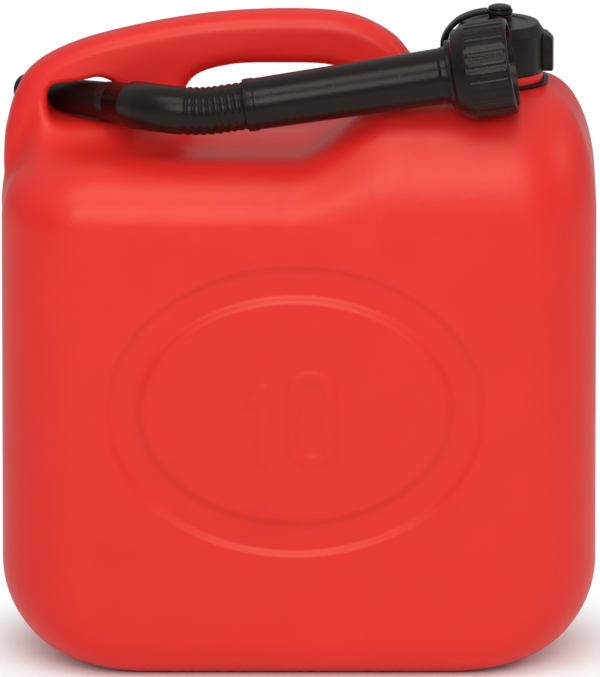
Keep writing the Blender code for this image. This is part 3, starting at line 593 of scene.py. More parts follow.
def turned(bm, outline, steps, other=None, weight=None, closed=False):
    """Turn an outline of (radius, height) about Z; a second outline shows by its weight."""
    rows = []
    for k in range(steps):
        angle = math.tau * k / steps
        share = weight(angle) if weight else 0.0
        row = []
        for i, point in enumerate(outline):
            radius, height = point if not share else Vector(point).lerp(other[i], share)
            row.append(bm.verts.new((radius * math.cos(angle), radius * math.sin(angle), height)))
        rows.append(row)
    count = len(outline)
    for k in range(steps):
        this, following = rows[k], rows[(k + 1) % steps]
        for i in range(count if closed else count - 1):
            j = (i + 1) % count
            quad = [this[i], this[j], following[j], following[i]]
            on_axis = [p for p in (0, 1) if abs(outline[(i, j)[p]][0]) < 1e-9]
            if len(on_axis) == 2:
                continue
            if on_axis == [0]:
                quad = [this[i], this[j], following[j]]
            elif on_axis == [1]:
                quad = [this[i], this[j], following[i]]
            bm.faces.new(quad)


def lathe(name, outline, steps):
    """A closed outline turned about Z."""
    bm = bmesh.new()
    turned(bm, outline, steps, closed=True)
    return mesh_from(name, bm)


def inner_thread(name, start, turns):
    """The thread inside the cap or the nut."""
    bm = bmesh.new()
    thread(bm, CAP_BORE, CAP_BORE - FLIGHT_RELIEF, start, turns, INNER_FLIGHT_WIDTH)
    return mesh_from(name, bm)


def thread(bm, radius, crest, start, turns, width):
    """A raised screw thread whose ends run out."""
    steps = round(FLIGHT_STEPS * turns)
    rows = []
    for k in range(steps + 1):
        angle = math.tau * turns * k / steps
        fade = min(1.0, k / RUN_OUT_STEPS, (steps - k) / RUN_OUT_STEPS)
        peak = radius + (crest - radius) * fade
        sunk = radius - (crest - radius) * FLIGHT_SUNK
        height = start + THREAD_PITCH * angle / math.tau
        row = []
        for r, h in ((sunk, -0.5), (radius, -0.5), (peak, -CREST_SHARE), (peak, CREST_SHARE),
                     (radius, 0.5), (sunk, 0.5)):
            row.append(bm.verts.new((r * math.cos(angle), r * math.sin(angle),
                                     height + h * width)))
        rows.append(row)
    for this, following in zip(rows, rows[1:]):
        for i in range(len(this)):
            j = (i + 1) % len(this)
            bm.faces.new((this[i], this[j], following[j], following[i]))
    bm.faces.new(rows[0])
    bm.faces.new(rows[-1])


def smooth_curve(points, steps, closed=False):
    """Points on a smooth curve through the given points."""
    points = [Vector(point) for point in points]
    count = len(points)
    smooth = []
    for k in range(count if closed else count - 1):
        if closed:
            a, b, c, d = (points[(k + n) % count] for n in (-1, 0, 1, 2))
        else:
            b, c = points[k], points[k + 1]
            a = points[k - 1] if k else 2 * b - c
            d = points[k + 2] if k + 2 < count else 2 * c - b
        for i in range(steps):
            t = i / steps
            smooth.append((2 * b + (c - a) * t + (2 * a - 5 * b + 4 * c - d) * t ** 2
                           + (3 * b - a - 3 * c + d) * t ** 3) / 2)
    if not closed:
        smooth.append(points[-1])
    return smooth


def pipe(bm, points, radii, sides):
    """A skin round a path without twist; returns its rings."""
    side = None
    rings = []
    for i, point in enumerate(points):
        along = (points[min(i + 1, len(points) - 1)] - points[max(i - 1, 0)]).normalized()
        side = along.orthogonal() if side is None else side - along * side.dot(along)
        side.normalize()
        across = along.cross(side)
        rings.append([bm.verts.new(point + (side * math.cos(math.tau * k / sides)
                                            + across * math.sin(math.tau * k / sides)) * radii[i])
                      for k in range(sides)])
    for this, following in zip(rings, rings[1:]):
        bridge(bm, this, following)
    return rings


def bridge(bm, this, following):
    """Faces between two closed rings."""
    count = len(this)
    for k in range(count):
        j = (k + 1) % count
        bm.faces.new((this[k], this[j], following[j], following[k]))


def set_along(mesh, base, direction):
    """Stand a mesh made along Z on a base, pointing in a direction."""
    turn = direction.to_track_quat("Z", "Y").to_matrix().to_4x4()
    mesh.transform(Matrix.Translation(base) @ turn)
    return mesh


# The shell's form, as a field that is negative inside

def rise(value, start, length):
    """0 before the start, 1 after the length, and smooth between."""
    share = np.clip((value - start) / length, 0, 1)
    return share * share * (3 - 2 * share)


def join_smooth(a, b, reach):
    """The nearer of two fields, with a fillet of the given reach."""
    h = np.clip(1 - np.abs(a - b) / reach, 0, None)
    return np.minimum(a, b) - h * h * reach / 4


def box_field(x, y, half_x, half_y, radius):
    """Distance to a rectangle with rounded corners, negative inside."""
    qx = np.abs(x) - (half_x - radius)
    qy = np.abs(y) - (half_y - radius)
    outside = np.hypot(np.maximum(qx, 0), np.maximum(qy, 0))
    return outside + np.minimum(np.maximum(qx, qy), 0) - radius


def edge_offset(x, z, a, b):
    """Squared distance to the edge from a to b."""
    ex, ez = b[0] - a[0], b[1] - a[1]
    wx, wz = x - a[0], z - a[1]
    t = np.clip((wx * ex + wz * ez) / (ex * ex + ez * ez), 0, 1)
    return (wx - ex * t) ** 2 + (wz - ez * t) ** 2


def outline_field(x, z, outline):
    """Signed distance to a closed outline, negative inside."""
    nearest = np.full(x.shape, np.inf)
    inside = np.zeros(x.shape, bool)
    for a, b in zip(outline, outline[1:] + outline[:1]):
        nearest = np.minimum(nearest, edge_offset(x, z, a, b))
        crossing = (a[1] > z) != (b[1] > z)
        inside ^= crossing & (x - a[0] < (b[0] - a[0]) * (z - a[1]) / ((b[1] - a[1]) or 1e-12))
    distance = np.sqrt(nearest)
    return np.where(inside, -distance, distance)


def stroke_field(x, z, path, half):
    """Distance to a stroke of the given half width."""
    return np.sqrt(np.min([edge_offset(x, z, a, b) for a, b in zip(path, path[1:])], 0)) - half


def groove_relief(x, z, look):
    """How far the oval groove sinks at a point of the front."""
    ox, oz = x - GROOVE_CENTRE[0], z - GROOVE_CENTRE[1]
    a, b = GROOVE_HALF
    size = np.sqrt((ox / a) ** 2 + (oz / b) ** 2) + 1e-9
    slope = np.sqrt((ox / a ** 2) ** 2 + (oz / b ** 2) ** 2) / size + 1e-9
    off = np.abs((size - 1) / slope)
    start = look.groove_band / 2 - GROOVE_SLOPE_START
    return look.groove_depth * (1 - rise(off, start, GROOVE_SLOPE))


def numeral_relief(x, z, look):
    """How far the plain capacity numerals stand out."""
    one = stroke_field(x, z, NUMERAL_ONE, ONE_HALF_STROKE)
    ring = box_field(x - ZERO_CENTRE[0], z - ZERO_CENTRE[1], *ZERO_HALF, ZERO_CORNER)
    either = np.minimum(one, np.abs(ring) - ZERO_HALF_STROKE)
    return look.numeral_height * (1 - rise(either, NUMERAL_SLOPE_START, NUMERAL_SLOPE))


def shoulder_at(x):
    """The tank's top, and the depth and height of its shoulder, along its width."""
    high = rise(x, RISE_START_X, RISE_LENGTH)
    depth, height = (low + (raised - low) * high
                     for low, raised in zip(LOW_SHOULDER, HIGH_SHOULDER))
    return LOW_TOP + PLATEAU_RISE * high, depth, height


def swell_at(x, z):
    """How far the tank's faces bulge, as a factor."""
    across = np.clip(1 - (x / HALF_WIDTH) ** 2, 0, None)
    return 1 + FACE_CROWN / HALF_DEPTH * across * np.sin(np.pi * np.clip(z / LOW_TOP, 0, 1))


def plan_field(x, y, half_x, half_y):
    """Distance to the tank's plan, shrunk to the given halves."""
    return box_field(x * HALF_WIDTH / half_x, y * HALF_DEPTH / half_y, HALF_WIDTH, HALF_DEPTH,
                     PLAN_CORNER)


def tank_raw(x, y, z, look):
    """A pillow whose plan shrinks towards its base and its shoulders; zero on its sides."""
    top, depth, height = shoulder_at(x)

    def inset(up):
        return 1 - np.sqrt(np.maximum(1 - up * up, 0))

    out = inset(np.clip(1 - (top - z) / height, 0, 1))
    foot = inset(np.clip(1 - z / look.base_corner, 0, 1))
    toe = inset(np.clip(1 - z / BASE_EDGE, 0, 1))
    half_x = HALF_WIDTH - SIDE_SHOULDER * out - look.base_corner * foot
    half_y = (HALF_DEPTH - depth * out - BASE_EDGE * toe) * swell_at(x, z)
    front = numeral_relief(x, z, look) - groove_relief(x, z, look)
    return plan_field(x, y, half_x, half_y + np.where(y < 0, front, 0))


def tank_field(x, y, z, look):
    """Distance to the tank, from the pillow's value and slope."""
    tiny = 0.0001
    raw = tank_raw(x, y, z, look)
    slope = np.sqrt((tank_raw(x + tiny, y, z, look) - raw) ** 2
                    + (tank_raw(x, y + tiny, z, look) - raw) ** 2
                    + (tank_raw(x, y, z + tiny, look) - raw) ** 2) / tiny
    lid = (z - shoulder_at(x)[0]) * 0.9
    return np.maximum(np.maximum(raw / np.maximum(slope, 0.3), -z), lid)


def top_field(x, y, z):
    """Distance to the tank's walls and rounded shoulder, smooth above the shoulder too."""
    top, depth, height = shoulder_at(x)
    swell = swell_at(x, z)

    def beyond(share):
        half_x = HALF_WIDTH - SIDE_SHOULDER * share
        return plan_field(x, y, half_x, (HALF_DEPTH - depth * share) * swell)

    near, far = np.zeros(x.shape), np.ones(x.shape)
    for _ in range(SHARE_HALVINGS):
        middle = (near + far) / 2
        within = beyond(middle) < 0
        near, far = np.where(within, middle, near), np.where(within, far, middle)
    out = 1 - near + np.maximum(beyond(np.zeros(x.shape)), 0) / depth
    out = np.where(far >= 1, 0, out)
    up = np.maximum(1 - (top - z) / height, 0)
    size = np.hypot(out, up)
    slope = np.hypot(out / depth, up / height)
    return np.where(size > 1e-4, (size - 1) * size / np.maximum(slope, 1e-6), -height)


def handle_field(x, y, z, look, outlines):
    """The slab with its hand hole and fully rounded edges."""
    outer, hand = outlines
    plan = np.maximum(outline_field(x, z, outer), -outline_field(x, z, hand))
    edge = look.handle_edge
    w0 = plan + edge
    w1 = np.abs(y) - (HANDLE_HALF - edge)
    return (np.hypot(np.maximum(w0, 0), np.maximum(w1, 0))
            + np.minimum(np.maximum(w0, w1), 0) - edge)


def shell_field(look):
    """The can's whole outer form: tank and handle joined, the spout's hole and the bore cut."""
    outer = [(p.x * HALF_WIDTH, LOW_TOP + p.y * HANDLE_RISE)
             for p in smooth_curve(HANDLE_OUTLINE, 4, closed=True)]
    hand_rise = HANDLE_RISE - HANDLE_BAR
    hand = [(HAND_HOLE_LEFT + p.x * HAND_HOLE_LENGTH, LOW_TOP + p.y * hand_rise)
            for p in smooth_curve(HAND_HOLE, 4, closed=True)]
    hole_length = SPOUT_HOLE_RIGHT - SPOUT_HOLE_LEFT
    spout = [(SPOUT_HOLE_LEFT + p.x * hole_length, SPOUT_HOLE_FLOOR + p.y * SPOUT_HOLE_HEIGHT)
             for p in smooth_curve(SPOUT_HOLE, 3, closed=True)]

    def field(points):
        x, y, z = points.T
        value = tank_field(x, y, z, look)
        upper = z > UPPER_START
        ux, uy, uz = x[upper], y[upper], z[upper]
        value[upper] = top_field(ux, uy, uz)
        slab = handle_field(ux, uy, uz, look, (outer, hand))
        reach = look.root_fillet + look.leg_fillet * (1 - rise(ux, SPOUT_HOLE_RIGHT, WEB_WIDTH))
        inward = LEG_SIDE_SHARE + (1 - LEG_SIDE_SHARE) * rise(ux, LEG_SIDE, LEG_SIDE_RUN)
        value[upper] = join_smooth(value[upper], slab, reach * inward)
        hole = outline_field(ux, uz, spout)
        value[upper] = -join_smooth(-value[upper], hole, look.hole_lip)
        ring = np.hypot(x - NECK_X, y)
        bore = np.maximum(ring - NECK_BORE - BORE_EASE, BORE_FLOOR - z)
        well = np.maximum(np.maximum(ring - WELL_RADIUS, WELL_FLOOR - z), z - WELL_TOP)
        inner = box_field(x, y, HALF_WIDTH - WELL_WALLS[0], HALF_DEPTH - WELL_WALLS[1],
                          WELL_CORNER)
        well = np.maximum(well, inner)
        return np.maximum(value, -np.minimum(bore, well))

    return field


def skin_over(field, low, high, step):
    """Corners and quads over a field's zero surface, sampled finely only near it."""
    coarse = step * BLOCK
    counts = np.ceil((high - low) / coarse).astype(int) + 1
    nodes = np.indices(counts).reshape(3, -1).T
    rough = field(low + nodes * coarse).reshape(counts)
    near = np.abs(rough) < coarse * NEAR_BLOCKS
    blocks = counts - 1

    def corner(array, offset, size):
        return array[tuple(slice(o, s + o) for o, s in zip(offset, size))]

    active = np.zeros(blocks, bool)
    for offset in product((0, 1), repeat=3):
        active |= corner(near, offset, blocks)
    fine = blocks * BLOCK + 1

    def spread(array):
        for axis in range(3):
            array = array.repeat(BLOCK, axis)
        return np.pad(array, ((0, 1),) * 3, mode="edge")

    values = spread(np.where(corner(rough, (0, 0, 0), blocks) < 0, -1.0, 1.0))
    wanted = spread(active)
    grown = wanted.copy()
    for axis in range(3):
        grown |= np.roll(grown, 1, axis)
    where = np.argwhere(grown)
    values[tuple(where.T)] = field(low + where * step)
    inside = values < 0
    cells = fine - 1
    total = np.zeros(cells, np.int8)
    for offset in product((0, 1), repeat=3):
        total += corner(inside, offset, cells)
    mixed = (total > 0) & (total < 8)
    place = np.argwhere(mixed)
    index = np.full(cells, -1, np.int64)
    index[mixed] = np.arange(len(place))
    sums = np.zeros((len(place), 3))
    hits = np.zeros(len(place))
    for axis in range(3):
        unit = np.eye(3, dtype=int)[axis]
        for pair in product((0, 1), repeat=2):
            start = place + np.insert(np.array(pair), axis, 0)
            va = values[tuple(start.T)]
            vb = values[tuple((start + unit).T)]
            cross = (va < 0) != (vb < 0)
            share = va[cross] / (va[cross] - vb[cross])
            sums[cross] += start[cross] + share[:, None] * unit
            hits[cross] += 1
    corners = low + step * sums / hits[:, None]
    quads = []
    for axis in range(3):
        u, v = [other for other in range(3) if other != axis]
        below = np.moveaxis(inside, axis, 0)
        change = below[:-1] != below[1:]
        change[:, 0, :] = change[:, -1, :] = False
        change[:, :, 0] = change[:, :, -1] = False
        spots = np.argwhere(change)
        at = np.zeros_like(spots)
        at[:, axis], at[:, u], at[:, v] = spots.T
        ring = []
        for du, dv in ((-1, -1), (0, -1), (0, 0), (-1, 0)):
            cell = at.copy()
            cell[:, u] += du
            cell[:, v] += dv
            ring.append(index[tuple(cell.T)])
        quad = np.stack(ring, 1)
        outward = below[:-1][change] ^ (axis == 1)
        quads.append(np.where(outward[:, None], quad, quad[:, ::-1]))
    return corners, np.concatenate(quads)


def settle(corners, field, rounds=3):
    """Move corners onto the field's zero surface."""
    tiny = 0.00005
    for _ in range(rounds):
        value = field(corners)
        slope = np.stack([(field(corners + tiny * unit) - value) / tiny for unit in np.eye(3)], 1)
        move = -slope * (value / np.maximum((slope ** 2).sum(1), FLATTEST))[:, None]
        size = np.linalg.norm(move, axis=1)
        move *= np.minimum(1, LONGEST_MOVE / np.maximum(size, 1e-9))[:, None]
        corners = corners + move
    return corners


def mesh_of(name, corners, quads):
    """A smooth mesh from arrays of corners and quads."""
    mesh = bpy.data.meshes.new(name)
    mesh.vertices.add(len(corners))
    mesh.vertices.foreach_set("co", corners.ravel())
    mesh.loops.add(quads.size)
    mesh.loops.foreach_set("vertex_index", quads.ravel().astype(np.int32))
    mesh.polygons.add(len(quads))
    mesh.polygons.foreach_set("loop_start", np.arange(0, quads.size, 4, dtype=np.int32))
    mesh.update(calc_edges=True)
    mesh.validate()
    mesh.shade_smooth()
    return mesh


class FUELCAN_OT_shell(bpy.types.Operator):
    """Build the can's moulded shell with its handle, holes, groove and numerals"""

    bl_idname = "fuel_can.shell"
    bl_label = "Moulded Shell"

    def execute(self, context):
        look = settings().can
        field = shell_field(look)
        step = look.skin_step
        corners, quads = skin_over(field, np.array(SKIN_LOW), np.array(SKIN_HIGH), step)
        corners = settle(corners, field)
        mesh = mesh_of("can_shell", corners, quads)
        add_piece("can_shell", mesh, moulded_red(), "can", ("can_body",))
        return {"FINISHED"}


class FUELCAN_OT_neck(bpy.types.Operator):
    """Build the neck with its collar and screw thread"""

    bl_idname = "fuel_can.neck"
    bl_label = "Threaded Neck"

    def execute(self, context):
        foot = COLLAR_BASE - NECK_SKIRT
        outline = rounded(((NECK_BORE, foot), (COLLAR_RADIUS - STEP, foot),
                           (COLLAR_RADIUS, COLLAR_BASE), (COLLAR_RADIUS, COLLAR_TOP),
                           (NECK_ROOT, COLLAR_TOP), (NECK_ROOT, NECK_TOP), (NECK_BORE, NECK_TOP),
                           (NECK_BORE, foot + BORE_SEAM)), NECK_EASE)
        bm = bmesh.new()
        turned(bm, outline, RING_STEPS, closed=True)
        thread(bm, NECK_ROOT, NECK_ROOT + FLIGHT_RELIEF, NECK_FLIGHT_START, NECK_FLIGHT_TURNS,
               NECK_FLIGHT_WIDTH)
        mesh = mesh_from("neck", bm)
        mesh.transform(Matrix.Translation((NECK_X, 0, 0)))
        red = bpy.data.materials["moulded_red"]
        add_piece("neck", mesh, red, "can")
        return {"FINISHED"}


class FUELCAN_OT_cap(bpy.types.Operator):
    """Build the lugged screw cap with its stud and inner thread, and finish its seal"""

    bl_idname = "fuel_can.cap"
    bl_label = "Screw Cap"

    def execute(self, context):
        ease = settings().fitting.edge_radius
        boss, boss_rise = STUD_BOSS
        head, head_rise = STUD_HEAD
        neck_top = EYELET_BASE + STRAP_THICKNESS + SEAT_GAP
        start = [(0, CAP_INNER_TOP), (CAP_BORE, CAP_INNER_TOP), (CAP_BORE, CAP_BASE)]
        plain = [(CAP_RADIUS, CAP_BASE)] + [(CAP_RADIUS, CAP_TOP - drop)
                                            for drop in PLAIN_DROPS]
        lugged = [(LUG_RADIUS, CAP_BASE)] + [(CAP_RADIUS + out, CAP_TOP - drop)
                                             for out, drop in LUG_PROFILE]
        end = [(CAP_RADIUS + out, CAP_TOP - drop) for out, drop in CAP_BEVEL]
        end += [(DISH_RADIUS, CAP_TOP), (DISH_RADIUS - DISH_SLOPE, CAP_TOP - DISH_DEPTH),
                (boss + BOSS_SLOPE, CAP_TOP - DISH_DEPTH), (boss, CAP_TOP + BOSS_FOOT),
                (boss, CAP_TOP + boss_rise), (STUD_RADIUS, CAP_TOP + boss_rise),
                (STUD_RADIUS, neck_top), (head, neck_top), (head, neck_top + head_rise / 2),
                (STUD_RADIUS, neck_top + head_rise), (0, neck_top + head_rise)]
        quarter = math.pi / 2

        def lug_share(angle):
            off = abs((angle + quarter / 2) % quarter - quarter / 2)
            return float(1 - rise(off, LUG_HALF_ANGLE - LUG_EDGE_ANGLE, 2 * LUG_EDGE_ANGLE))

        bm = bmesh.new()
        turned(bm, rounded(start + plain + end, ease), CAP_STEPS,
               rounded(start + lugged + end, ease), lug_share)
        mesh = mesh_from("cap_shell", bm)
        inner_mesh = inner_thread("cap_thread", CAP_FLIGHT_START, CAP_FLIGHT_TURNS)
        for made in (mesh, inner_mesh):
            made.transform(Matrix.Translation((NECK_X, 0, 0)))
        black = moulded_black("cap_black")
        add_piece("cap_shell", mesh, black, "cap", ("screw_cap",))
        add_piece("cap_thread", inner_mesh, black, "cap")
        rubber = seal_rubber()
        for name in ("cap_seal", "spout_seal"):
            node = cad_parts[name]
            node.data.materials.clear()
            node.data.materials.append(rubber)
        return {"FINISHED"}


class FUELCAN_OT_tether(bpy.types.Operator):
    """Build the cap's tether: neck ring, strap and eyelet"""

    bl_idname = "fuel_can.tether"
    bl_label = "Cap Tether"

    def execute(self, context):
        bm = bmesh.new()
        ring_base = PLATEAU_TOP + SEAT_GAP
        bore = COLLAR_RADIUS + SEAT_GAP

        def flat_ring(inner, outer, base, height):
            outline = rounded([(inner, base), (outer, base), (outer, base + height),
                               (inner, base + height), (inner, base + height / 4)], RING_EASE)
            turned(bm, outline, RING_STEPS, closed=True)

        flat_ring(bore, bore + TETHER_RING[0], ring_base, TETHER_RING[1])
        eyelet = STUD_RADIUS + SEAT_GAP
        flat_ring(eyelet, eyelet + EYELET_WIDTH, EYELET_BASE, STRAP_THICKNESS)
        reach = LUG_RADIUS + RUNNING_GAP + STRAP_THICKNESS / 2
        low = ring_base + TETHER_RING[1] / 2
        high = EYELET_BASE + STRAP_THICKNESS / 2
        centre = smooth_curve([(-r * reach, low + (high - low) * c) for r, c in STRAP], 6)
        half_width = STRAP_WIDTH / 2
        half = STRAP_THICKNESS / 2
        flat, upright = half_width - STRAP_EASE, half - STRAP_EASE
        section = [(-flat, -half), (flat, -half), (half_width, -upright), (half_width, upright),
                   (flat, half), (-flat, half), (-half_width, upright), (-half_width, -upright)]
        rows = []
        for i, point in enumerate(centre):
            along = centre[min(i + 1, len(centre) - 1)] - centre[max(i - 1, 0)]
            side = Vector((-along.y, along.x)).normalized()
            row = []
            for across, out in section:
                spot = point + side * out
                row.append(bm.verts.new((spot.x, across, spot.y)))
            rows.append(row)
        for this, following in zip(rows, rows[1:]):
            bridge(bm, this, following)
        bm.faces.new(rows[0])
        bm.faces.new(rows[-1])
        mesh = mesh_from("tether_strap", bm)
        mesh.transform(Matrix.Translation((NECK_X, 0, 0)))
        piece = add_piece("tether_strap", mesh, moulded_black("tether_black", 0.30), None,
                          ("cap_tether",))
        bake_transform(piece)
        return {"FINISHED"}


def stow_point(distance):
    """A place on the stowed tip's axis, from where it crosses the handle."""
    return STOW_CROSSING + STOW * distance


def hose_route():
    """The hose's axis: straight at both ends, with one smooth bend between."""
    straight = 2 * HOSE_RADIUS
    bend_start = stow_point(HOSE_START + straight)
    bend_end = BARREL_START - BARREL_ALONG * (straight - CUFF)
    reach = (bend_end - bend_start).length
    points = [stow_point(HOSE_START)]
    for i in range(BEND_STEPS + 1):
        t = i / BEND_STEPS
        points.append(bend_start * (2 * t ** 3 - 3 * t ** 2 + 1)
                      + bend_end * (3 * t ** 2 - 2 * t ** 3)
                      + STOW * reach * (t ** 3 - 2 * t ** 2 + t)
                      + BARREL_ALONG * reach * (t ** 3 - t ** 2))
    points.append(BARREL_START)
    return points


def at_length(points, wanted):
    """The place at a length along a path."""
    gone = 0.0
    for a, b in zip(points, points[1:]):
        step = (b - a).length
        if gone + step >= wanted:
            return a.lerp(b, (wanted - gone) / step)
        gone += step
    return points[-1]


class FUELCAN_OT_tip(bpy.types.Operator):
    """Build the spout's tapered outlet pipe"""

    bl_idname = "fuel_can.tip"
    bl_label = "Spout Tip"

    def execute(self, context):
        spigot = HOSE_RADIUS - RIB_DEPTH - 2 * PIPE_WALL - SEAT_GAP
        length = TIP_REACH_ON + TIP_REACH + HOSE_START - SEAT_GAP
        bore = min(spigot, TIP_RADII[0]) - PIPE_WALL
        slim, wide = TIP_RADII
        lip = slim + (wide - slim) * TIP_LIP_SHARE
        outline = rounded([(bore, BORE_SEAM), (bore, 0), (slim, 0), (lip, TIP_LIP),
                           (lip - LIP_RELIEF, TIP_LIP + STEP),
                           (wide - BAND_RELIEF, length - TIP_END - STEP),
                           (wide, length - TIP_END), (wide, length), (spigot, length),
                           (spigot, length + CUFF), (bore, length + CUFF),
                           (bore, 2 * BORE_SEAM)], LIP_RELIEF)
        mesh = lathe("tip_pipe", outline, TIP_STEPS)
        set_along(mesh, stow_point(-TIP_REACH - TIP_REACH_ON), STOW)
        add_piece("tip_pipe", mesh, moulded_black("tip_black", 0.28), "spout_outlet",
                  ("spout_tip",))
        return {"FINISHED"}


class FUELCAN_OT_hose(bpy.types.Operator):
    """Build the flexible hose: slim end, smooth sleeve and fine ribs up to the barrel"""

    bl_idname = "fuel_can.hose"
    bl_label = "Flexible Hose"

    def execute(self, context):
        look = settings().fitting
        route = hose_route()
        length = sum((b - a).length for a, b in zip(route, route[1:]))
        ribbed = RIB_COUNT * RIB_PITCH
        cuff = BARREL_RADII[0] - PIPE_WALL - SEAT_GAP
        plain = length - ribbed
        slim = TIP_RADII[1] + BAND_RELIEF
        sleeve = look.sleeve_length
        swollen = sleeve + 2 * STEP
        spans = [(0, TIP_RADII[1]), (STEP / 2, slim), (sleeve - STEP, slim),
                 (sleeve, slim + STEP), (sleeve + STEP / 2, HOSE_RADIUS - STEP),
                 (sleeve + STEP, HOSE_RADIUS - STEP / 3), (swollen, HOSE_RADIUS)]
        for i in range(PLAIN_RINGS):
            spans.append((swollen + (plain - swollen) * (i + 1) / PLAIN_RINGS, HOSE_RADIUS))
        for i in range(RIB_COUNT * RIB_RINGS):
            phase = i / RIB_RINGS
            dip = (0.5 - 0.5 * math.cos(math.tau * phase)) ** RIB_SHARPNESS
            spans.append((plain + phase * RIB_PITCH, HOSE_RADIUS - look.rib_relief * dip))
        outer = [at_length(route, distance) for distance, _ in spans]
        radii = [radius for _, radius in spans]
        for distance in (-SEAT_GAP, CUFF):
            outer.append(BARREL_START + BARREL_ALONG * distance)
            radii.append(cuff)
        bm = bmesh.new()
        shell = pipe(bm, outer, radii, HOSE_STEPS)
        bore = cuff - PIPE_WALL
        inner_points = [at_length(route, length * i / BORE_RINGS) for i in range(BORE_RINGS + 1)]
        inner_points.append(BARREL_START + BARREL_ALONG * CUFF)
        lining = pipe(bm, inner_points, [bore] * len(inner_points), HOSE_STEPS)
        bridge(bm, shell[0], lining[0])
        bridge(bm, shell[-1], lining[-1])
        mesh = mesh_from("hose_sleeve", bm, math.radians(60))
        piece = add_piece("hose_sleeve", mesh, moulded_black("hose_black", 0.20), None,
                          ("spout_hose",))
        tuple(at_length(route, look.sleeve_length + 0.004))
        tuple(at_length(route, length - 0.002))
        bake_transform(piece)
        return {"FINISHED"}


class FUELCAN_OT_barrel(bpy.types.Operator):
    """Build the spout's wide barrel with the flange that the nut holds"""

    bl_idname = "fuel_can.barrel"
    bl_label = "Spout Barrel"

    def execute(self, context):
        seat = BARREL_LENGTH - NUT_SLEEVE
        flange = seat + FLANGE_THICKNESS
        near, far = BARREL_RADII
        bore = near - PIPE_WALL
        nut_start = seat - NUT_SHOULDER - NUT_COLLAR
        slope = (far - near) / nut_start
        outline = rounded([(bore, BORE_SEAM), (bore, 0), (near, 0),
                           (near + BARREL_BAND * slope, BARREL_BAND),
                           (near - BAND_RELIEF, BARREL_BAND + STEP),
                           (far - BAND_RELIEF, nut_start - FAR_BAND_START),
                           (far, nut_start - FAR_BAND_END), (far, seat),
                           (FLANGE_RADIUS, seat), (FLANGE_RADIUS, flange),
                           (far - PIPE_WALL, flange), (bore, 2 * BORE_SEAM)], STEP)
        mesh = lathe("barrel_pipe", outline, RING_STEPS)
        set_along(mesh, BARREL_START, BARREL_ALONG)
        add_piece("barrel_pipe", mesh, moulded_black("barrel_black", 0.16), "spout_pipe",
                  ("spout_barrel",))
        return {"FINISHED"}


class FUELCAN_OT_nut(bpy.types.Operator):
    """Build the union nut: ringed collar, domed shoulder, ribbed sleeve and inner thread"""

    bl_idname = "fuel_can.nut"
    bl_label = "Union Nut"

    def execute(self, context):
        length = NUT_SLEEVE + NUT_SHOULDER + NUT_COLLAR
        shoulder = NUT_SHOULDER + NUT_COLLAR
        collar = NUT_EYE + NUT_WALL
        groove = NUT_RADIUS - NUT_RIB_RELIEF
        head = [(NUT_EYE, 0), (collar - BAND_RELIEF, 0), (collar, BAND_RELIEF),
                (collar, NUT_COLLAR)]
        head += [(collar + out, NUT_COLLAR + along) for out, along in DOME]
        head += [(groove - inward, NUT_COLLAR + along) for inward, along in DOME_EDGE]
        tail = [(groove, length - NUT_RIM), (groove - NUT_RIM, length), (CAP_BORE, length),
                (CAP_BORE, shoulder - SEAT_GAP), (NUT_EYE, shoulder - SEAT_GAP),
                (NUT_EYE, BORE_SEAM)]

        def sleeve(radius):
            side = [(groove, shoulder), (radius, shoulder + RIB_START),
                    (radius, length - RIB_STOP), (groove, length - RIB_STOP + STEP)]
            return rounded(head + side + tail, BAND_RELIEF, 2)

        pitch = math.tau / NUT_RIBS

        def rib_share(angle):
            phase = (angle % pitch) / pitch
            return float(rise(phase, *RIB_RISE) * (1 - rise(phase, *RIB_FALL)))

        bm = bmesh.new()
        turned(bm, sleeve(groove), NUT_STEPS, sleeve(NUT_RADIUS), rib_share, True)
        mesh = mesh_from("nut_shell", bm)
        inner_mesh = inner_thread("nut_thread", shoulder + NUT_FLIGHT_START, NUT_FLIGHT_TURNS)
        base = BARREL_END - BARREL_ALONG * length
        black = moulded_black("nut_black", 0.16)
        add_piece("nut_shell", set_along(mesh, base, BARREL_ALONG), black, "union_nut",
                  ("spout_nut",))
        add_piece("nut_thread", set_along(inner_mesh, base, BARREL_ALONG), black, "union_nut")
        return {"FINISHED"}


def softbox(name, place, target, size, power):
    """A rectangular area lamp that points at a target."""
    lamp = bpy.data.lights.new(name, "AREA")
    lamp.shape = "RECTANGLE"
    lamp.size, lamp.size_y = size
    lamp.energy = power
    holder = bpy.data.objects.new(name, lamp)
    holder.location = place
    holder.rotation_euler = (Vector(target) - Vector(place)).to_track_quat("-Z", "Y").to_euler()
    bpy.context.scene.collection.objects.link(holder)


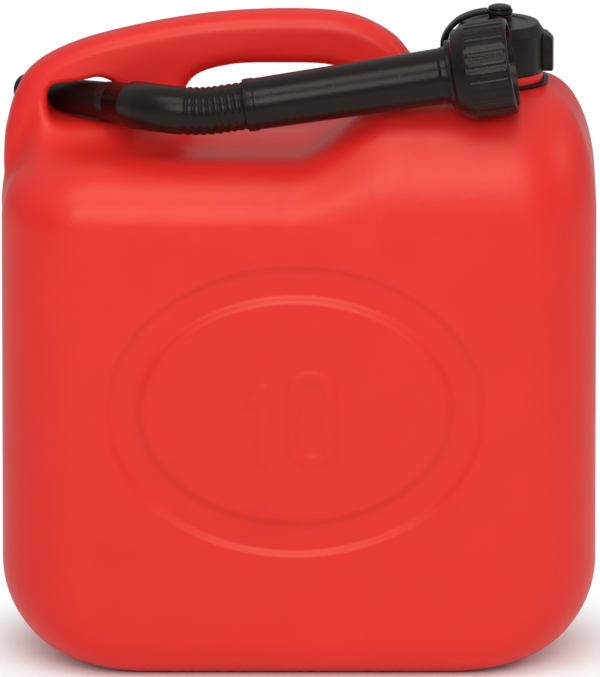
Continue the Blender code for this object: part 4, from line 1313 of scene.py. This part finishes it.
class FUELCAN_OT_stage(bpy.types.Operator):
    """Set the camera, the lamps, the pale surroundings and the floor"""

    bl_idname = "fuel_can.stage"
    bl_label = "Stage"

    def execute(self, context):
        look = settings().stage
        scene = context.scene
        target = Vector(AIM)
        back = Vector((0, -math.cos(look.elevation), math.sin(look.elevation)))
        camera = bpy.data.cameras.new("camera")
        camera.sensor_fit = "HORIZONTAL"
        camera.lens = camera.sensor_width * look.distance / look.view_width
        camera.clip_end = FAR_CLIP
        holder = bpy.data.objects.new("camera", camera)
        holder.location = target + back * look.distance
        holder.rotation_euler = (-back).to_track_quat("-Z", "Y").to_euler()
        scene.collection.objects.link(holder)
        scene.camera = holder
        for name, place, aim, size, power in SOFTBOXES:
            softbox(name, place, aim, size, getattr(look, power))
        scene.world = bpy.data.worlds.new("surroundings")
        plan = Plan(scene.world, "Background", "Generated")
        height = plan.axis("Z").ramp(0.0, ZENITH_HEIGHT)
        around = look.horizon + height * (look.zenith - look.horizon)
        plan.give(Color=(1, 1, 1, 1), Strength=around + plan.seen() * (1 - around))
        mesh = bpy.data.meshes.new("floor")
        far = FLOOR_HALF
        mesh.from_pydata([(-far, -far, 0), (far, -far, 0), (far, far, 0), (-far, far, 0)],
                         [], [(0, 1, 2, 3)])
        floor = bpy.data.objects.new("floor", mesh)
        scene.collection.objects.link(floor)
        plan = Plan(bpy.data.materials.new("floor_paper"))
        grain = plan.noise(scale=400.0, detail=2.0)
        paper = plan.give(Base_Color=(*look.floor_colour, 1), Roughness=0.8,
                          Normal=plan.bump(grain, distance=0.0001, strength=0.2))
        away = plan.node("ShaderNodeVectorMath", {"operation": "LENGTH"},
                         {0: plan.stretched((1, 1.5, 1))}, "Value")
        white = plan.node("ShaderNodeEmission", {}, {"Strength": 1.0})
        lit = Wire(plan, plan.shader.outputs[0])
        mixed = plan.node("ShaderNodeMixShader", {},
                          {0: plan.seen() * away.ramp(*SHADOW_FADE), 1: lit, 2: white})
        plan.feed(plan.tree.nodes["Material Output"].inputs["Surface"], mixed)
        mesh.materials.append(paper)
        scene.view_settings.view_transform = "Standard"
        return {"FINISHED"}


class FUELCAN_PT_panel(bpy.types.Panel):
    """Lists the fuel can's makers and their settings"""

    bl_idname = "FUELCAN_PT_panel"
    bl_label = "Fuel Can"
    bl_space_type = "VIEW_3D"
    bl_region_type = "UI"
    bl_category = "Fuel Can"

    def draw(self, context):
        layout = self.layout
        for group in (settings().can, settings().fitting, settings().stage):
            box = layout.box()
            for name in group.bl_rna.properties.keys():
                if name not in {"rna_type", "name"}:
                    box.prop(group, name)
        for maker in MAKERS:
            layout.operator(maker.bl_idname)


MAKERS = (FUELCAN_OT_stage, FUELCAN_OT_shell, FUELCAN_OT_neck, FUELCAN_OT_cap, FUELCAN_OT_tether,
          FUELCAN_OT_tip, FUELCAN_OT_hose, FUELCAN_OT_barrel, FUELCAN_OT_nut)
CLASSES = (CanLook, FittingLook, StageLook, FuelCanSettings, *MAKERS, FUELCAN_PT_panel)


def register():
    for made in CLASSES:
        bpy.utils.register_class(made)
    bpy.types.Scene.fuel_can = bpy.props.PointerProperty(
        type=FuelCanSettings, name="Fuel Can", description="The fuel can's settings")


def unregister():
    del bpy.types.Scene.fuel_can
    for made in reversed(CLASSES):
        bpy.utils.unregister_class(made)


def main():
    register()
    for maker in MAKERS:
        group, name = maker.bl_idname.split(".")
        getattr(getattr(bpy.ops, group), name)()


if __name__ == "__main__":
    main()
